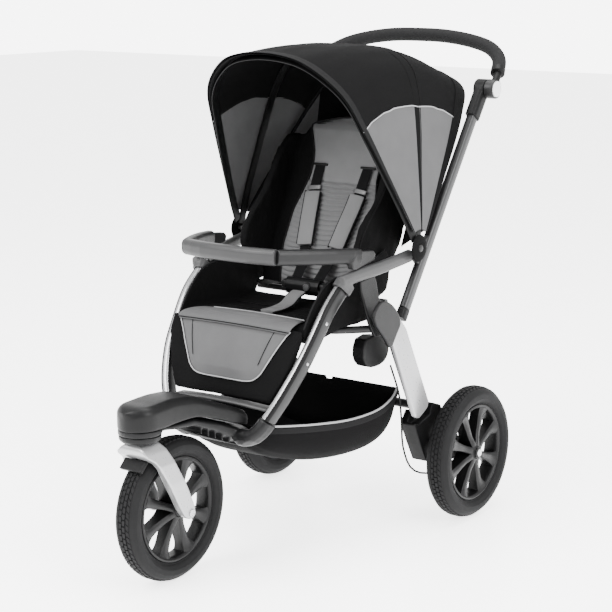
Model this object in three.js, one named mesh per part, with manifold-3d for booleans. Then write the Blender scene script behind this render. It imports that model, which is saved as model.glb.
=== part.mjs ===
// Three-wheel jogging stroller, millimetres, +Z up, front of the stroller towards -Y, the child's
// left at +X.
// Origin: on the ground, in the middle of the stroller's length and width.
import * as THREE from 'three';
import { mergeVertices } from 'three/addons/utils/BufferGeometryUtils.js';
import Module from 'manifold-3d';

const wasm = await Module();
wasm.setup();

// ---- driving dimensions ----
const GAP = 0.3;              // air between neighbouring pieces that touch
const WHEEL_R = 152.5;        // twelve-inch wheels
const TYRE_HALF = 29;         // half of the tyre's width
const RIM_R = 113;            // where tyre and rim meet
const FRONT_AXLE_Y = -400;
const REAR_AXLE_Y = 325;      // wheelbase 725
const TRACK_HALF = 282;       // rear wheel's middle plane
const STEER_Y = -491;         // swivel axis of the fork, ahead of its axle
const NOSE_R = 46;            // round nose of the front arm
const NOSE_LOW = 319;         // underside of the nose
const SIDE_X = 235;           // middle of each push tube and rear leg
const FOLD = { y: 185, z: 636 };      // main hinge: push tube on side rail
const LEG_PIVOT = { y: 60, z: 490 };  // rear leg on the pivot shield
const CANOPY = { y: 150, z: 648 };    // canopy bows turn here
const RECLINE = { y: 132, z: 522 };   // seat back hinge
const TUBE_LOW = { y: 118, z: 517 };  // push tube's axis, lower end
const TUBE_HIGH = { y: 404, z: 933 }; // push tube's axis, upper end
const HANDLE = { y: 436, z: 977 };    // handle height pivot
const CANOPY_SKIN = 3;
const SIDES = [['left', 1], ['right', -1]];

const stroller = new THREE.Group();
stroller.name = 'jogging_stroller';

// ---- materials ----
const finish = (color, roughness, metalness = 0) => () =>
  new THREE.MeshStandardMaterial({ color, roughness, metalness });
const TYRE = finish(0x2b2b2c, 0.85);
const RIM = finish(0x333335, 0.5);
const BLACK_PLASTIC = finish(0x1c1c1d, 0.55);
const GREY_PLASTIC = finish(0x4b4c4e, 0.5);
const LIGHT_PLASTIC = finish(0x8d8f91, 0.45);
const SILVER = finish(0xd4d5d6, 0.35, 0.6);
const TUBE_METAL = finish(0x77797b, 0.35, 0.8);
const STEEL = finish(0xb9babc, 0.3, 0.9);
const BLACK_FABRIC = finish(0x151516, 0.95);
const GREY_FABRIC = finish(0x7d7e80, 0.95);
const FOAM = finish(0x3a3a3c, 0.9);

// ---- solids and booleans ----
function toSolid(geometry) {
  const bare = geometry.clone();
  bare.deleteAttribute('normal');
  bare.deleteAttribute('uv');
  const merged = mergeVertices(bare, 1e-4);
  const vertProperties = new Float32Array(merged.attributes.position.array);
  const triVerts = new Uint32Array(merged.index.array);
  return new wasm.Manifold(new wasm.Mesh({ numProp: 3, vertProperties, triVerts }));
}

function toGeometry(solid) {
  const mesh = solid.getMesh();
  const geometry = new THREE.BufferGeometry();
  geometry.setAttribute('position', new THREE.BufferAttribute(new Float32Array(mesh.vertProperties), 3));
  geometry.setIndex(new THREE.BufferAttribute(new Uint32Array(mesh.triVerts), 1));
  const loose = geometry.toNonIndexed();
  loose.computeVertexNormals();
  return loose;
}

const join = (...parts) => toGeometry(parts.map(toSolid).reduce((sum, part) => sum.add(part)));
const cut = (body, ...tools) =>
  toGeometry(tools.map(toSolid).reduce((rest, tool) => rest.subtract(tool), toSolid(body)));
const common = (a, b) => toGeometry(toSolid(a).intersect(toSolid(b)));

function add(name, geometry, material) {
  const mesh = new THREE.Mesh(geometry, material());
  mesh.name = name;
  stroller.add(mesh);
  return mesh;
}

// ---- shape helpers ----
const vec = (x, y, z) => new THREE.Vector3(x, y, z);

function box(x0, x1, y0, y1, z0, z1) {
  const geometry = new THREE.BoxGeometry(x1 - x0, y1 - y0, z1 - z0);
  return geometry.translate((x0 + x1) / 2, (y0 + y1) / 2, (z0 + z1) / 2);
}

// Cylinder whose axis runs along X.
function pin(r, x0, x1, y, z, sides = 16) {
  const geometry = new THREE.CylinderGeometry(r, r, Math.abs(x1 - x0), sides);
  return geometry.rotateZ(Math.PI / 2).translate((x0 + x1) / 2, y, z);
}

// Turned piece about an axis along X; the profile lists [radius, x].
function turned(profile, x, y, z, segments = 40, side = 1) {
  const geometry = new THREE.LatheGeometry(profile.map(([r, h]) => new THREE.Vector2(r, h)), segments);
  geometry.rotateZ(-Math.PI / 2);
  if (side < 0) geometry.rotateY(Math.PI);
  return geometry.rotateX(Math.PI / 2).translate(x, y, z);
}

// Turned piece about a vertical axis; the profile lists [radius, z].
function turnedUp(profile, x, y, segments = 32) {
  const geometry = new THREE.LatheGeometry(profile.map(([r, h]) => new THREE.Vector2(r, h)), segments);
  return geometry.rotateX(Math.PI / 2).translate(x, y, 0);
}

// Side-view outline, a list of [y, z], made into a plate from x0 to x1.
function plate(outline, x0, x1) {
  const shape = new THREE.Shape(outline.map(([y, z]) => new THREE.Vector2(y, z)));
  const geometry = new THREE.ExtrudeGeometry(shape, { depth: Math.abs(x1 - x0), bevelEnabled: false });
  const turn = new THREE.Matrix4().set(0, 0, 1, Math.min(x0, x1), 1, 0, 0, 0, 0, 1, 0, 0, 0, 0, 0, 1);
  return geometry.applyMatrix4(turn);
}

// Side-view outline with softened corners.
function softPlate(outline, x0, x1, steps = 4) {
  const points = outline.map(([y, z]) => vec(0, y, z));
  const curve = new THREE.CatmullRomCurve3(points, true, 'centripetal');
  const smooth = curve.getPoints(outline.length * steps).slice(0, -1);
  return plate(smooth.map((p) => [p.y, p.z]), x0, x1);
}

// Closed skin over rings of points; every ring has the same number of points.
function loft(rings) {
  const n = rings[0].length;
  const positions = rings.flat().flatMap((p) => [p.x, p.y, p.z]);
  const index = [];
  for (let k = 0; k + 1 < rings.length; k++) {
    for (let i = 0; i < n; i++) {
      const a = k * n + i;
      const b = k * n + ((i + 1) % n);
      index.push(a, b, a + n, b, b + n, a + n);
    }
  }
  const last = (rings.length - 1) * n;
  for (let i = 1; i + 1 < n; i++) {
    index.push(0, i + 1, i);
    index.push(last, last + i, last + i + 1);
  }
  const geometry = new THREE.BufferGeometry();
  geometry.setAttribute('position', new THREE.Float32BufferAttribute(positions, 3));
  geometry.setIndex(index);
  return outward(geometry);
}

// Turns a closed geometry's faces outward.
function outward(geometry) {
  const p = geometry.attributes.position;
  const index = geometry.index.array;
  let volume = 0;
  const [a, b, c] = [vec(), vec(), vec()];
  for (let i = 0; i < index.length; i += 3) {
    a.fromBufferAttribute(p, index[i]);
    b.fromBufferAttribute(p, index[i + 1]);
    c.fromBufferAttribute(p, index[i + 2]);
    volume += a.dot(b.cross(c));
  }
  if (volume < 0) {
    for (let i = 0; i < index.length; i += 3) {
      [index[i + 1], index[i + 2]] = [index[i + 2], index[i + 1]];
    }
  }
  return geometry;
}

// Superellipse ring in the plane of two axes: round for power 2, boxy for higher powers.
function ring(centre, across, up, halfWidth, halfHeight, power = 2.6, n = 16) {
  const points = [];
  for (let i = 0; i < n; i++) {
    const t = (2 * Math.PI * (i + 0.5)) / n;
    const u = Math.sign(Math.cos(t)) * Math.abs(Math.cos(t)) ** (2 / power) * halfWidth;
    const v = Math.sign(Math.sin(t)) * Math.abs(Math.sin(t)) ** (2 / power) * halfHeight;
    points.push(centre.clone().addScaledVector(across, u).addScaledVector(up, v));
  }
  return points;
}

// Tube of flattened section along a path; its width stays as near to the X axis as the path allows.
function flatTube(points, width, depth, { steps = 12, power = 3, n = 12, hint = vec(1, 0, 0) } = {}) {
  const curve = new THREE.CatmullRomCurve3(points, false, 'centripetal');
  const rings = [];
  for (let k = 0; k <= steps; k++) {
    const tangent = curve.getTangentAt(k / steps);
    const up = tangent.clone().cross(hint).normalize();
    const across = up.clone().cross(tangent).normalize();
    rings.push(ring(curve.getPointAt(k / steps), across, up, width / 2, depth / 2, power, n));
  }
  return loft(rings);
}

// Round tube along a path.
function roundTube(points, r, steps, sides = 10) {
  const circle = new THREE.Shape().absarc(0, 0, r, 0, 2 * Math.PI);
  const path = new THREE.CatmullRomCurve3(points, false, 'centripetal');
  return new THREE.ExtrudeGeometry(circle, { steps, extrudePath: path, curveSegments: sides / 2 });
}

// Body whose cross-sections follow the stroller's length; stations list [y, half width, z low, z high].
function hull(stations, power = 3.2, n = 16) {
  const rings = stations.map(([y, w, z0, z1]) =>
    ring(vec(0, y, (z0 + z1) / 2), vec(1, 0, 0), vec(0, 0, 1), w, (z1 - z0) / 2, power, n));
  return loft(rings);
}

const mirrorX = (geometry, side) => {
  if (side > 0) return geometry;
  const flipped = geometry.index ? geometry.toNonIndexed() : geometry.clone();
  flipped.scale(-1, 1, 1);
  const p = flipped.attributes.position.array;
  for (let i = 0; i < p.length; i += 9) {
    for (let k = 0; k < 3; k++) [p[i + 3 + k], p[i + 6 + k]] = [p[i + 6 + k], p[i + 3 + k]];
  }
  return flipped;
};

// ---- wheels ----
const tyreProfile = [
  [RIM_R, -20], [122, -27], [134, -TYRE_HALF], [146, -22], [WHEEL_R, -9],
  [WHEEL_R, 9], [146, 22], [134, TYRE_HALF], [122, 27], [RIM_R, 20], [RIM_R, -20],
];

function addTyre(name, x, y) {
  add(name, turned(tyreProfile, x, y, WHEEL_R), TYRE);
}

function addRim(name, x, y, side, bore) {
  const hubHalf = 24;
  const outer = RIM_R - GAP;
  const band = turned(
    [[101, -20], [outer, -20], [outer, 20], [101, 20], [97, 0], [101, -20]], 0, 0, 0);
  const hub = pin(19, -hubHalf, hubHalf, 0, 0, 24);
  const parts = [band, hub];
  for (let k = 0; k < 8; k++) {
    const spoke = new THREE.CylinderGeometry(1, 1, 1, 4, 1);
    spoke.rotateY(Math.PI / 4).scale(Math.SQRT2, 1, Math.SQRT2);
    const p = spoke.attributes.position;
    for (let i = 0; i < p.count; i++) {
      const atRim = p.getY(i) > 0;
      p.setXYZ(i, p.getX(i) * (atRim ? 9 : 12) * 0.5 + (atRim ? 2 : 6), atRim ? 103 : 12,
        p.getZ(i) * (atRim ? 15 : 12) * 0.5);
    }
    parts.push(spoke.rotateX((2 * Math.PI * (k + 0.5)) / 8));
  }
  const wheel = cut(join(...parts), pin(bore, -hubHalf - 1, hubHalf + 1, 0, 0, 16));
  if (side < 0) wheel.rotateZ(Math.PI);
  add(name, wheel.translate(x, y, WHEEL_R), RIM);
}

addTyre('front_tyre', 0, FRONT_AXLE_Y);
addRim('front_rim', 0, FRONT_AXLE_Y, 1, 6.5);
for (const [side, s] of SIDES) {
  addTyre(`rear_tyre_${side}`, s * TRACK_HALF, REAR_AXLE_Y);
  addRim(`rear_rim_${side}`, s * TRACK_HALF, REAR_AXLE_Y, s, 7);
}

// ---- fork, its axle and the small guard under the crown ----
const forkOuter = 57;
const forkInner = 39;
const axle = { y: FRONT_AXLE_Y, z: WHEEL_R };
const forkSide = softPlate([
  [-520, 303], [-512, 315.5], [-491, 316], [-462, 313], [-449, 290], [-424, 238], [-392, 172], [-387, 152],
  [-393, 140], [-407, 140], [-421, 150], [-451, 200], [-480, 252], [-496, 278], [-514, 290],
], -forkOuter, forkOuter, 2);
const archAbove = [[-60, 120], [60, 120], [57, 225], [50, 270], [40, 297], [26, 311], [12, NOSE_LOW - 2],
  [-12, NOSE_LOW - 2], [-26, 311], [-40, 297], [-50, 270], [-57, 225]];
function frontOutline(outline, y0, y1) {
  const shape = new THREE.Shape(outline.map(([x, z]) => new THREE.Vector2(x, z)));
  const geometry = new THREE.ExtrudeGeometry(shape, { depth: y1 - y0, bevelEnabled: false });
  return geometry.applyMatrix4(new THREE.Matrix4().set(1, 0, 0, 0, 0, 0, -1, y1, 0, 1, 0, 0, 0, 0, 0, 1));
}
const tyreRoom = turned([[0, -36], [140, -36], [154, -30], [157.5, -12], [157.5, 12], [154, 30], [140,
  36], [0, 36]],
  0, axle.y, axle.z);
const legRoom = frontOutline([[-forkInner, 100], [forkInner, 100], [36, 240], [28, 276], [0, 284],
  [-28, 276], [-36, 240]], -620, -360);
const fork = cut(common(forkSide, frontOutline(archAbove, -600, -340)), tyreRoom, legRoom,
  pin(5.3, -70, 70, axle.y, axle.z));
const stem = pin(11, 0, 40, 0, 0, 20).rotateY(-Math.PI / 2).translate(0, STEER_Y, 312);
add('fork', join(fork, stem), SILVER);
add('front_axle', turned([[0, -62], [7, -62], [8.5, -60], [8.5, -57 - GAP], [5, -57 - GAP],
  [5, 57 + GAP], [8.5, 57 + GAP], [8.5, 60], [7, 62], [0, 62]], 0, axle.y, axle.z, 16), STEEL);
const guardArc = (r, angles) => angles.map((a) => {
  const t = THREE.MathUtils.degToRad(a);
  return [axle.y + r * Math.cos(t), axle.z + r * Math.sin(t)];
});
const guardOutline = [
  ...guardArc(167, [118, 123, 128, 133, 138]), ...guardArc(159, [138, 133, 128, 123, 118]),
];
const crownRoom = plate([[-523, 303], [-516, 289.3], [-497, 277.3], [-479, 250], [-440, 250], [-440, 320],
  [-523, 320]], -80, 80);
add('fork_guard', cut(softPlate(guardOutline, -29, 29, 1), tyreRoom, crownRoom), BLACK_PLASTIC);

// ---- front arm: round nose, upper cover, ribbed base, swivel collar ----
const seam = 345;
const noseTop = turnedUp([[0, seam], [NOSE_R, seam], [NOSE_R, 380], [42, 389], [34, 394], [0, 396]], 0,
  STEER_Y);
const coverBody = hull([
  [-500, 38, seam, 394], [-430, 42, 347, 397], [-372, 50, 348, 391], [-312, 64, 332, 369],
  [-262, 86, 314, 348], [-246, 90, 312, 342],
]);
const stemRoom = turnedUp([[0, 300], [12, 300], [12, 353], [0, 353]], 0, STEER_Y, 20);
add('front_arm_cover', cut(join(noseTop, coverBody), stemRoom), GREY_PLASTIC);

const baseBody = hull([
  [-470, 30, 333.6, seam - GAP], [-446, 37, 333.4, seam], [-425, 40, 330, seam], [-372, 46, 325, 346],
  [-312, 58, 300, 330], [-262, 80, 270, 312], [-232, 83, 264, 304],
]);
const ribs = [];
for (let k = 0; k < 6; k++) {
  const half = 44 + k * 4;
  const y = -352 + k * 18;
  ribs.push(box(-half, half, y, y + 4, 306 - k * 8, 334 - k * 8));
}
const coverRoom = hull([
  [-500, 38.5, seam - GAP, 394], [-430, 42.5, 346.7, 398], [-372, 50.5, 347.7, 392],
  [-312, 64.5, 331.7, 370], [-262, 86.5, 313.7, 349], [-245.5, 90.5, 311.7, 343],
]);
const collarTop = turnedUp([[NOSE_R - 1, 333], [NOSE_R - 1, seam - GAP], [12, seam - GAP], [12, 333],
  [NOSE_R - 1, 333]],
  0, STEER_Y);
add('swivel_collar', turnedUp([[12, NOSE_LOW - 1], [38, NOSE_LOW - 1], [43, 323], [NOSE_R - 2, 333 - GAP],
  [12, 333 - GAP], [12, NOSE_LOW - 1]], 0, STEER_Y), GREY_PLASTIC);

// ---- front tubes, their lower joints, collars, side rails ----
const tubePath = [
  vec(192, -38, 596), vec(191, -62, 580), vec(190, -107, 542), vec(184, -154, 478), vec(176, -187, 430),
  vec(156, -221, 370), vec(134, -241, 325),
];
const railPath = [vec(200, -72, 600), vec(204, -40, 606), vec(219, 60, 618), vec(227, 150, 630)];
const jointPath = [vec(133, -242, 323), vec(127.5, -247, 312), vec(106, -257, 290), vec(66, -262, 284)];
const clampPath = [vec(191, -62, 580), vec(195, -48, 597)];
const rail = join(flatTube(railPath, 18, 28, { steps: 6 }), flatTube(clampPath, 34, 46, { steps: 1 }));
const railRoom = join(flatTube(railPath, 18.8, 28.8, { steps: 6 }),
  flatTube([vec(190.5, -63, 579), vec(195.5, -47, 598)], 34.8, 46.8, { steps: 1 }));
const tube = flatTube(tubePath, 22, 36, { steps: 14 });
const tubeRoom = flatTube(tubePath, 23, 37, { steps: 14 });
const socket = flatTube(jointPath, 30, 42, { steps: 6 });
add('front_arm_base', cut(join(baseBody, collarTop, ...ribs, socket, mirrorX(socket, -1)), coverRoom),
  GREY_PLASTIC);
for (const [side, s] of SIDES) {
  add(`front_tube_${side}`, mirrorX(tube, s), TUBE_METAL);
  add(`side_rail_${side}`, mirrorX(cut(rail, tubeRoom), s), LIGHT_PLASTIC);
}
const socketRoom = flatTube(jointPath, 31, 43, { steps: 6 });
const footPlate = cut(
  flatTube([vec(-122, -222, 344), vec(-60, -232, 350), vec(60, -232, 350), vec(122, -222, 344)], 30, 9,
    { steps: 8, hint: vec(0, 1, 0) }),
  coverRoom, tubeRoom, mirrorX(tubeRoom, -1), socketRoom, mirrorX(socketRoom, -1));
add('footrest_plate', footPlate, LIGHT_PLASTIC);

// ---- cross tube under the seat, lock housings at its ends ----
const crossPath = [
  vec(-197, 46, 479), vec(-120, -6, 475), vec(0, -30, 472), vec(120, -6, 475), vec(197, 46, 479),
];
add('seat_cross_tube', flatTube(crossPath, 20, 16, { steps: 12, hint: vec(0, 1, 0) }), TUBE_METAL);

// ---- side straps, pivot shields, rear legs ----
const strapOutline = [
  [-16, 594], [36, 602], [52, 556], [78, 500], [77, 474], [60, 462], [40, 466], [18, 500], [-4, 550],
];
const shieldOutline = [
  [-32, 524], [-4, 554], [30, 546], [60, 520], [72, 494], [58, 474], [34, 447], [12, 470],
];
const legOutline = [
  [36, 500], [50, 515], [74, 514], [90, 498], [112, 474], [208, 290], [202, 274], [168, 256], [146, 262],
  [44, 464],
];
const podOutline = [[18, 460], [78, 460], [104, 444], [108, 418], [92, 399], [56, 393], [26, 399], [8, 424]];
for (const [side, s] of SIDES) {
  const strapPlate = softPlate(strapOutline, 203, 211, 2);
  add(`side_strap_${side}`, mirrorX(cut(strapPlate, pin(6 + GAP, 190, 230, LEG_PIVOT.y, LEG_PIVOT.z),
    railRoom, tubeRoom), s), GREY_PLASTIC);
  const shield = join(softPlate(shieldOutline, 248, 257, 3), pin(6, 200, 249, LEG_PIVOT.y, LEG_PIVOT.z));
  add(`pivot_shield_${side}`, mirrorX(shield, s), GREY_PLASTIC);
  const leg = cut(plate(legOutline, 224, 247), pin(6 + GAP, 210, 260, LEG_PIVOT.y, LEG_PIVOT.z));
  add(`rear_leg_${side}`, mirrorX(leg, s), SILVER);
  add(`lock_housing_${side}`, mirrorX(softPlate(podOutline, 172, 202.5, 2), s), BLACK_PLASTIC);
}
add('rear_cross_tube', pin(10, -224 + GAP, 224 - GAP, 180, 284, 16), TUBE_METAL);

// ---- rear suspension brackets, axles, hub caps, brake parts ----
const bracketOutline = [
  [150, 246], [178, 284], [212, 288], [258, 272], [300, 222], [342, 178], [348, 146], [332, 128],
  [300, 128], [202, 150], [176, 196],
];
const legClearance = [[20, 520], [110, 500], [226, 286], [214, 256], [168, 244], [134, 256], [20, 480]];
const axleX0 = 214;
for (const [side, s] of SIDES) {
  const bracket = cut(plate(bracketOutline, 206, 245), plate(legClearance, 223.5, 260),
    pin(6.3, 213.7, 260, REAR_AXLE_Y, WHEEL_R), plate([[164, 268], [196, 300], [164, 300]], 200, 224),
    pin(13.5, 190, 226, 180, 284));
  add(`suspension_bracket_${side}`, mirrorX(bracket, s), BLACK_PLASTIC);
  const axle = join(pin(6, axleX0, 309, REAR_AXLE_Y, WHEEL_R),
    turned([[0, 0], [12, 0], [12, 5], [8, 7], [0, 7]], 306.3, REAR_AXLE_Y, WHEEL_R, 24));
  add(`rear_axle_${side}`, mirrorX(axle, s), STEEL);
}

// ---- push tubes, end plugs, handle joints ----
const along = (t, off = 0) => {
  const dy = TUBE_HIGH.y - TUBE_LOW.y;
  const dz = TUBE_HIGH.z - TUBE_LOW.z;
  const length = Math.hypot(dy, dz);
  return { y: TUBE_LOW.y + dy * t - (dz / length) * off, z: TUBE_LOW.z + dz * t + (dy / length) * off };
};
const at = (x, p) => vec(x, p.y, p.z);
const pushTube = flatTube([at(SIDE_X, along(0)), at(SIDE_X, along(1))], 20, 27, { steps: 1 });
const hingeEar = plate([
  [150, 622], [172, 652], [205, 668], [232, 668], [222, 640], [196, 612], [168, 606],
], 229, 241);
for (const [side, s] of SIDES) {
  const ear = cut(hingeEar, flatTube(railPath, 21, 29, { steps: 6 }));
  add(`push_tube_${side}`, mirrorX(join(pushTube, ear), s), TUBE_METAL);
  const plug = flatTube([at(SIDE_X, along(-0.002)), at(SIDE_X, along(-0.05))], 22, 29, { steps: 1 });
  add(`end_plug_${side}`, mirrorX(plug, s), BLACK_PLASTIC);
  const yoke = join(
    flatTube([at(SIDE_X, along(0.955)), at(SIDE_X, along(1.09))], 28, 38, { steps: 1 }),
    pin(22, 222, 248, HANDLE.y, HANDLE.z, 24));
  const socketRoom = flatTube([at(SIDE_X, along(0.9)), at(SIDE_X, along(1.001))], 20.8, 27.8, { steps: 1 });
  add(`handle_joint_${side}`, mirrorX(cut(yoke, socketRoom), s), GREY_PLASTIC);
}

// ---- handle bow with foam grip, hubs and buttons ----
const bowPath = [
  vec(-262, HANDLE.y + 6, HANDLE.z + 10), vec(-257, 464, 1010), vec(-240, 498, 1040), vec(-202, 523, 1063),
  vec(-150, 533, 1077), vec(-75, 536, 1087), vec(0, 536, 1089), vec(75, 536, 1087), vec(150, 533, 1077),
  vec(202, 523, 1063), vec(240, 498, 1040), vec(257, 464, 1010), vec(262, HANDLE.y + 6, HANDLE.z + 10),
];
const bowTube = roundTube(bowPath, 9, 28, 8);
const grip = roundTube(bowPath.slice(1, -1), 16, 24, 10);
add('handle_grip', cut(grip, roundTube(bowPath, 9 + GAP, 28, 8)), FOAM);
const hubs = [1, -1].map((s) => pin(22, s * 249.3, s * 272, HANDLE.y, HANDLE.z, 24));
const pockets = [1, -1].map((s) => pin(18.5, s * 268, s * 280, HANDLE.y, HANDLE.z, 24));
add('handle_bow', cut(join(bowTube, ...hubs), ...pockets), BLACK_PLASTIC);
for (const [side, s] of SIDES) {
  add(`hub_button_${side}`, pin(18, s * 271.5, s * 275, HANDLE.y, HANDLE.z, 24), LIGHT_PLASTIC);
}

// ---- arm bar: light front moulding and two darker side arms ----
const armFrontPath = [vec(-120, -194, 662), vec(-60, -209, 663), vec(60, -209, 663), vec(120, -194, 662)];
const armSidePath = [vec(121, -193.5, 662), vec(150, -146, 659), vec(184, -74, 654), vec(205, -14, 649)];
const level = { hint: vec(0, 0, 1) };
add('arm_bar_front', flatTube(armFrontPath, 35, 27, { steps: 8, ...level }), LIGHT_PLASTIC);
const hook = plate([[-50, 640], [-46, 625], [-36, 622.5], [34, 634], [38, 648], [30, 656], [-30, 662]],
  197, 212);
for (const [side, s] of SIDES) {
  const arm = join(flatTube(armSidePath, 34, 25, { steps: 6, ...level }), hook);
  const armFrontRoom = flatTube(
    [vec(60, -209, 663), vec(121.5, -193, 662)], 60, 60, { steps: 1, ...level, power: 8 });
  add(`arm_bar_${side}`, mirrorX(cut(arm, armFrontRoom, railRoom), s), GREY_PLASTIC);
}

// ---- canopy: arches about one axis through both pivots ----
// Half of an arch at the front and at the rear: [half width, reach from the pivot axis] for a reach of 1.
const FRONT_ANGLE = 119.5;
const MIDDLE_ANGLE = 78.8;
const REAR_ANGLE = 50;
const archFront = [[249, 0.012], [241, 0.186], [223, 0.392], [203, 0.604], [182, 0.781], [147, 0.882],
  [94, 0.965], [34, 0.996]];
const archRear = [[249, 0.013], [243, 0.193], [229, 0.408], [214, 0.629], [200, 0.773], [178, 0.912],
  [130, 0.983], [50, 1.0]];

function fullCurve(half, n) {
  const mirrored = half.slice().reverse().map((p) => vec(-p.x, p.y, p.z));
  return new THREE.CatmullRomCurve3([...half, ...mirrored], false, 'centripetal').getPoints(n);
}

// Points of an arch that stands at an angle from +Y; out moves it outwards.
function arch(angle, reach, out = 0, from = 16, n = 20) {
  const share = Math.min(1, Math.max(0, (FRONT_ANGLE - angle) / (FRONT_ANGLE - REAR_ANGLE)));
  const t = THREE.MathUtils.degToRad(angle);
  const half = archFront.map(([x, s], k) => {
    const across = x + (archRear[k][0] - x) * share + out;
    const away = (s + (archRear[k][1] - s) * share) * reach;
    return vec(across, Math.max(away, from) + (s > 0.6 ? out : 0), 0);
  });
  return fullCurve(half, n).map((p) =>
    vec(p.x, CANOPY.y + p.y * Math.cos(t), CANOPY.z + p.y * Math.sin(t)));
}

// Thin closed skin between two grids of points with the same numbers of rows and points.
function skin(outer, inner) {
  const [rows, n] = [outer.length, outer[0].length];
  const positions = [outer, inner].flat(2).flatMap((p) => [p.x, p.y, p.z]);
  const index = [];
  const quad = (...corners) => {
    const [a, b, c, d] = corners.map(([layer, k, i]) => (layer * rows + k) * n + i);
    index.push(a, b, c, a, c, d);
  };
  for (let k = 0; k + 1 < rows; k++) {
    for (let i = 0; i + 1 < n; i++) {
      quad([0, k, i], [0, k, i + 1], [0, k + 1, i + 1], [0, k + 1, i]);
      quad([1, k, i], [1, k + 1, i], [1, k + 1, i + 1], [1, k, i + 1]);
    }
    quad([0, k, 0], [0, k + 1, 0], [1, k + 1, 0], [1, k, 0]);
    quad([0, k, n - 1], [1, k, n - 1], [1, k + 1, n - 1], [0, k + 1, n - 1]);
  }
  for (let i = 0; i + 1 < n; i++) {
    quad([0, 0, i], [1, 0, i], [1, 0, i + 1], [0, 0, i + 1]);
    quad([0, rows - 1, i], [0, rows - 1, i + 1], [1, rows - 1, i + 1], [1, rows - 1, i]);
  }
  const geometry = new THREE.BufferGeometry();
  geometry.setAttribute('position', new THREE.Float32BufferAttribute(positions, 3));
  geometry.setIndex(index);
  return outward(geometry);
}

function bowStrip(angle, reach, from) {
  const spread = 0.9;
  const outer = [angle - spread, angle + spread].map((a) => arch(a, reach, -1.5, from));
  const inner = [angle - spread, angle + spread].map((a) => arch(a, reach, -5.5, from));
  return skin(outer, inner);
}

// Reach of cloth pulled nearly straight between two arches, [angle, reach], with a little fullness.
function clothReach(angle, [a0, r0], [a1, r1]) {
  const sine = (degrees) => Math.sin(THREE.MathUtils.degToRad(degrees));
  const straight = sine(a1 - a0) / (sine(a1 - angle) / r0 + sine(angle - a0) / r1);
  return straight + 7 * Math.sin((Math.PI * (angle - a0)) / (a1 - a0));
}

function gore(first, last, rowCount) {
  const angles = Array.from({ length: rowCount }, (_,
    k) => first[0] + ((last[0] - first[0]) * k) / (rowCount - 1));
  const layer = (out) => angles.map((a) => arch(a, clothReach(a, first, last), out, 40));
  return skin(layer(CANOPY_SKIN), layer(0));
}
const FRONT_REACH = 486;
const MIDDLE_REACH = 437;
const REAR_REACH = 467;
add('canopy_front_bow', bowStrip(118, 475, 20), BLACK_PLASTIC);
add('canopy_front_fabric',
  gore([FRONT_ANGLE, FRONT_REACH], [MIDDLE_ANGLE, MIDDLE_REACH], 6), BLACK_FABRIC);
add('canopy_rear_fabric',
  gore([MIDDLE_ANGLE - 0.4, MIDDLE_REACH], [REAR_ANGLE, REAR_REACH], 4), BLACK_FABRIC);
const pivots = [1, -1].flatMap((s) => [
  pin(13, s * 246, s * 257, CANOPY.y, CANOPY.z, 20), pin(5, s * (241 + GAP), s * 248, CANOPY.y, CANOPY.z)]);
add('canopy_middle_bow', join(bowStrip(MIDDLE_ANGLE - 0.2, MIDDLE_REACH - 1, 8), ...pivots), BLACK_PLASTIC);

// The back panel closes the canopy from its rear arch down to the back of the seat.
const backFoot = [[168, 226, 668], [167, 248, 726], [166, 276, 790], [160, 300, 834], [130, 320, 868],
  [72, 328, 884], [20, 329, 888]].map((p) => vec(...p));
const backRows = [arch(REAR_ANGLE - 2.5, REAR_REACH - 2, -5, 98), fullCurve(backFoot, 20)];
backRows.splice(1, 0, backRows[0].map((p, i) => p.clone().lerp(backRows[1][i], 0.5)));
const below = (rows, depth) => rows.map((row, k) => row.map((p, i) => {
  const alongRow = row[Math.min(i + 1, row.length - 1)].clone().sub(row[Math.max(i - 1, 0)]);
  const downRows = rows[Math.min(k + 1, rows.length - 1)][i].clone().sub(rows[Math.max(k - 1, 0)][i]);
  return p.clone().addScaledVector(alongRow.cross(downRows).normalize(), depth);
}));
add('canopy_back_panel', skin(backRows, below(backRows, CANOPY_SKIN)), BLACK_FABRIC);

// ---- seat: base with side walls, back with side wings, leg rest ----
const seatHalf = 168;
const wallIn = 166;           // side walls of the seat, inside the front tubes
const wallOut = 170;
const seatPan = softPlate([
  [-157, 486], [-160, 504], [-142, 512], [-40, 507], [40, 507], [100, 514], [108, 504], [92, 491], [-20, 489],
  [-50, 485], [-130, 472],
], -seatHalf, seatHalf, 2);
const wallOutline = [
  [-156, 480], [-164, 508], [-135, 550], [-92, 588], [-56, 600], [20, 604], [90, 620], [142, 640], [158, 604],
  [146, 546], [118, 537], [100, 506], [70, 500], [-90, 494],
];
const seatWalls = [1, -1].map((s) => softPlate(wallOutline, s * wallIn, s * wallOut, 2));
add('seat_base', join(seatPan, ...seatWalls), BLACK_FABRIC);

const backOutline = [
  [112, 526], [152, 630], [194, 715], [234, 800], [270, 880], [288, 902], [306, 898], [302, 872], [262, 780],
  [214, 670], [160, 560], [140, 538], [122, 534],
];
const backHalf = [[160, 530], [164, 640], [163, 740], [160, 800], [150, 850], [134, 884], [70, 902]];
const backWidth = frontOutline([
  ...backHalf, [0, 908], ...backHalf.map(([x, z]) => [-x, z]).reverse(),
], 60, 360);
const wingOutline = [
  [120, 596], [62, 606], [40, 632], [46, 662], [70, 698], [124, 748], [188, 842], [232, 868], [272, 862],
  [238, 720], [208, 640], [170, 598],
];
const wings = [1, -1].map((s) => softPlate(wingOutline, s * 146, s * 164, 2));
add('seat_back', join(common(softPlate(backOutline, -200, 200, 2), backWidth), ...wings), BLACK_FABRIC);
add('seat_hinge_tube', pin(7, -178, 178, RECLINE.y, RECLINE.z, 12), TUBE_METAL);

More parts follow.
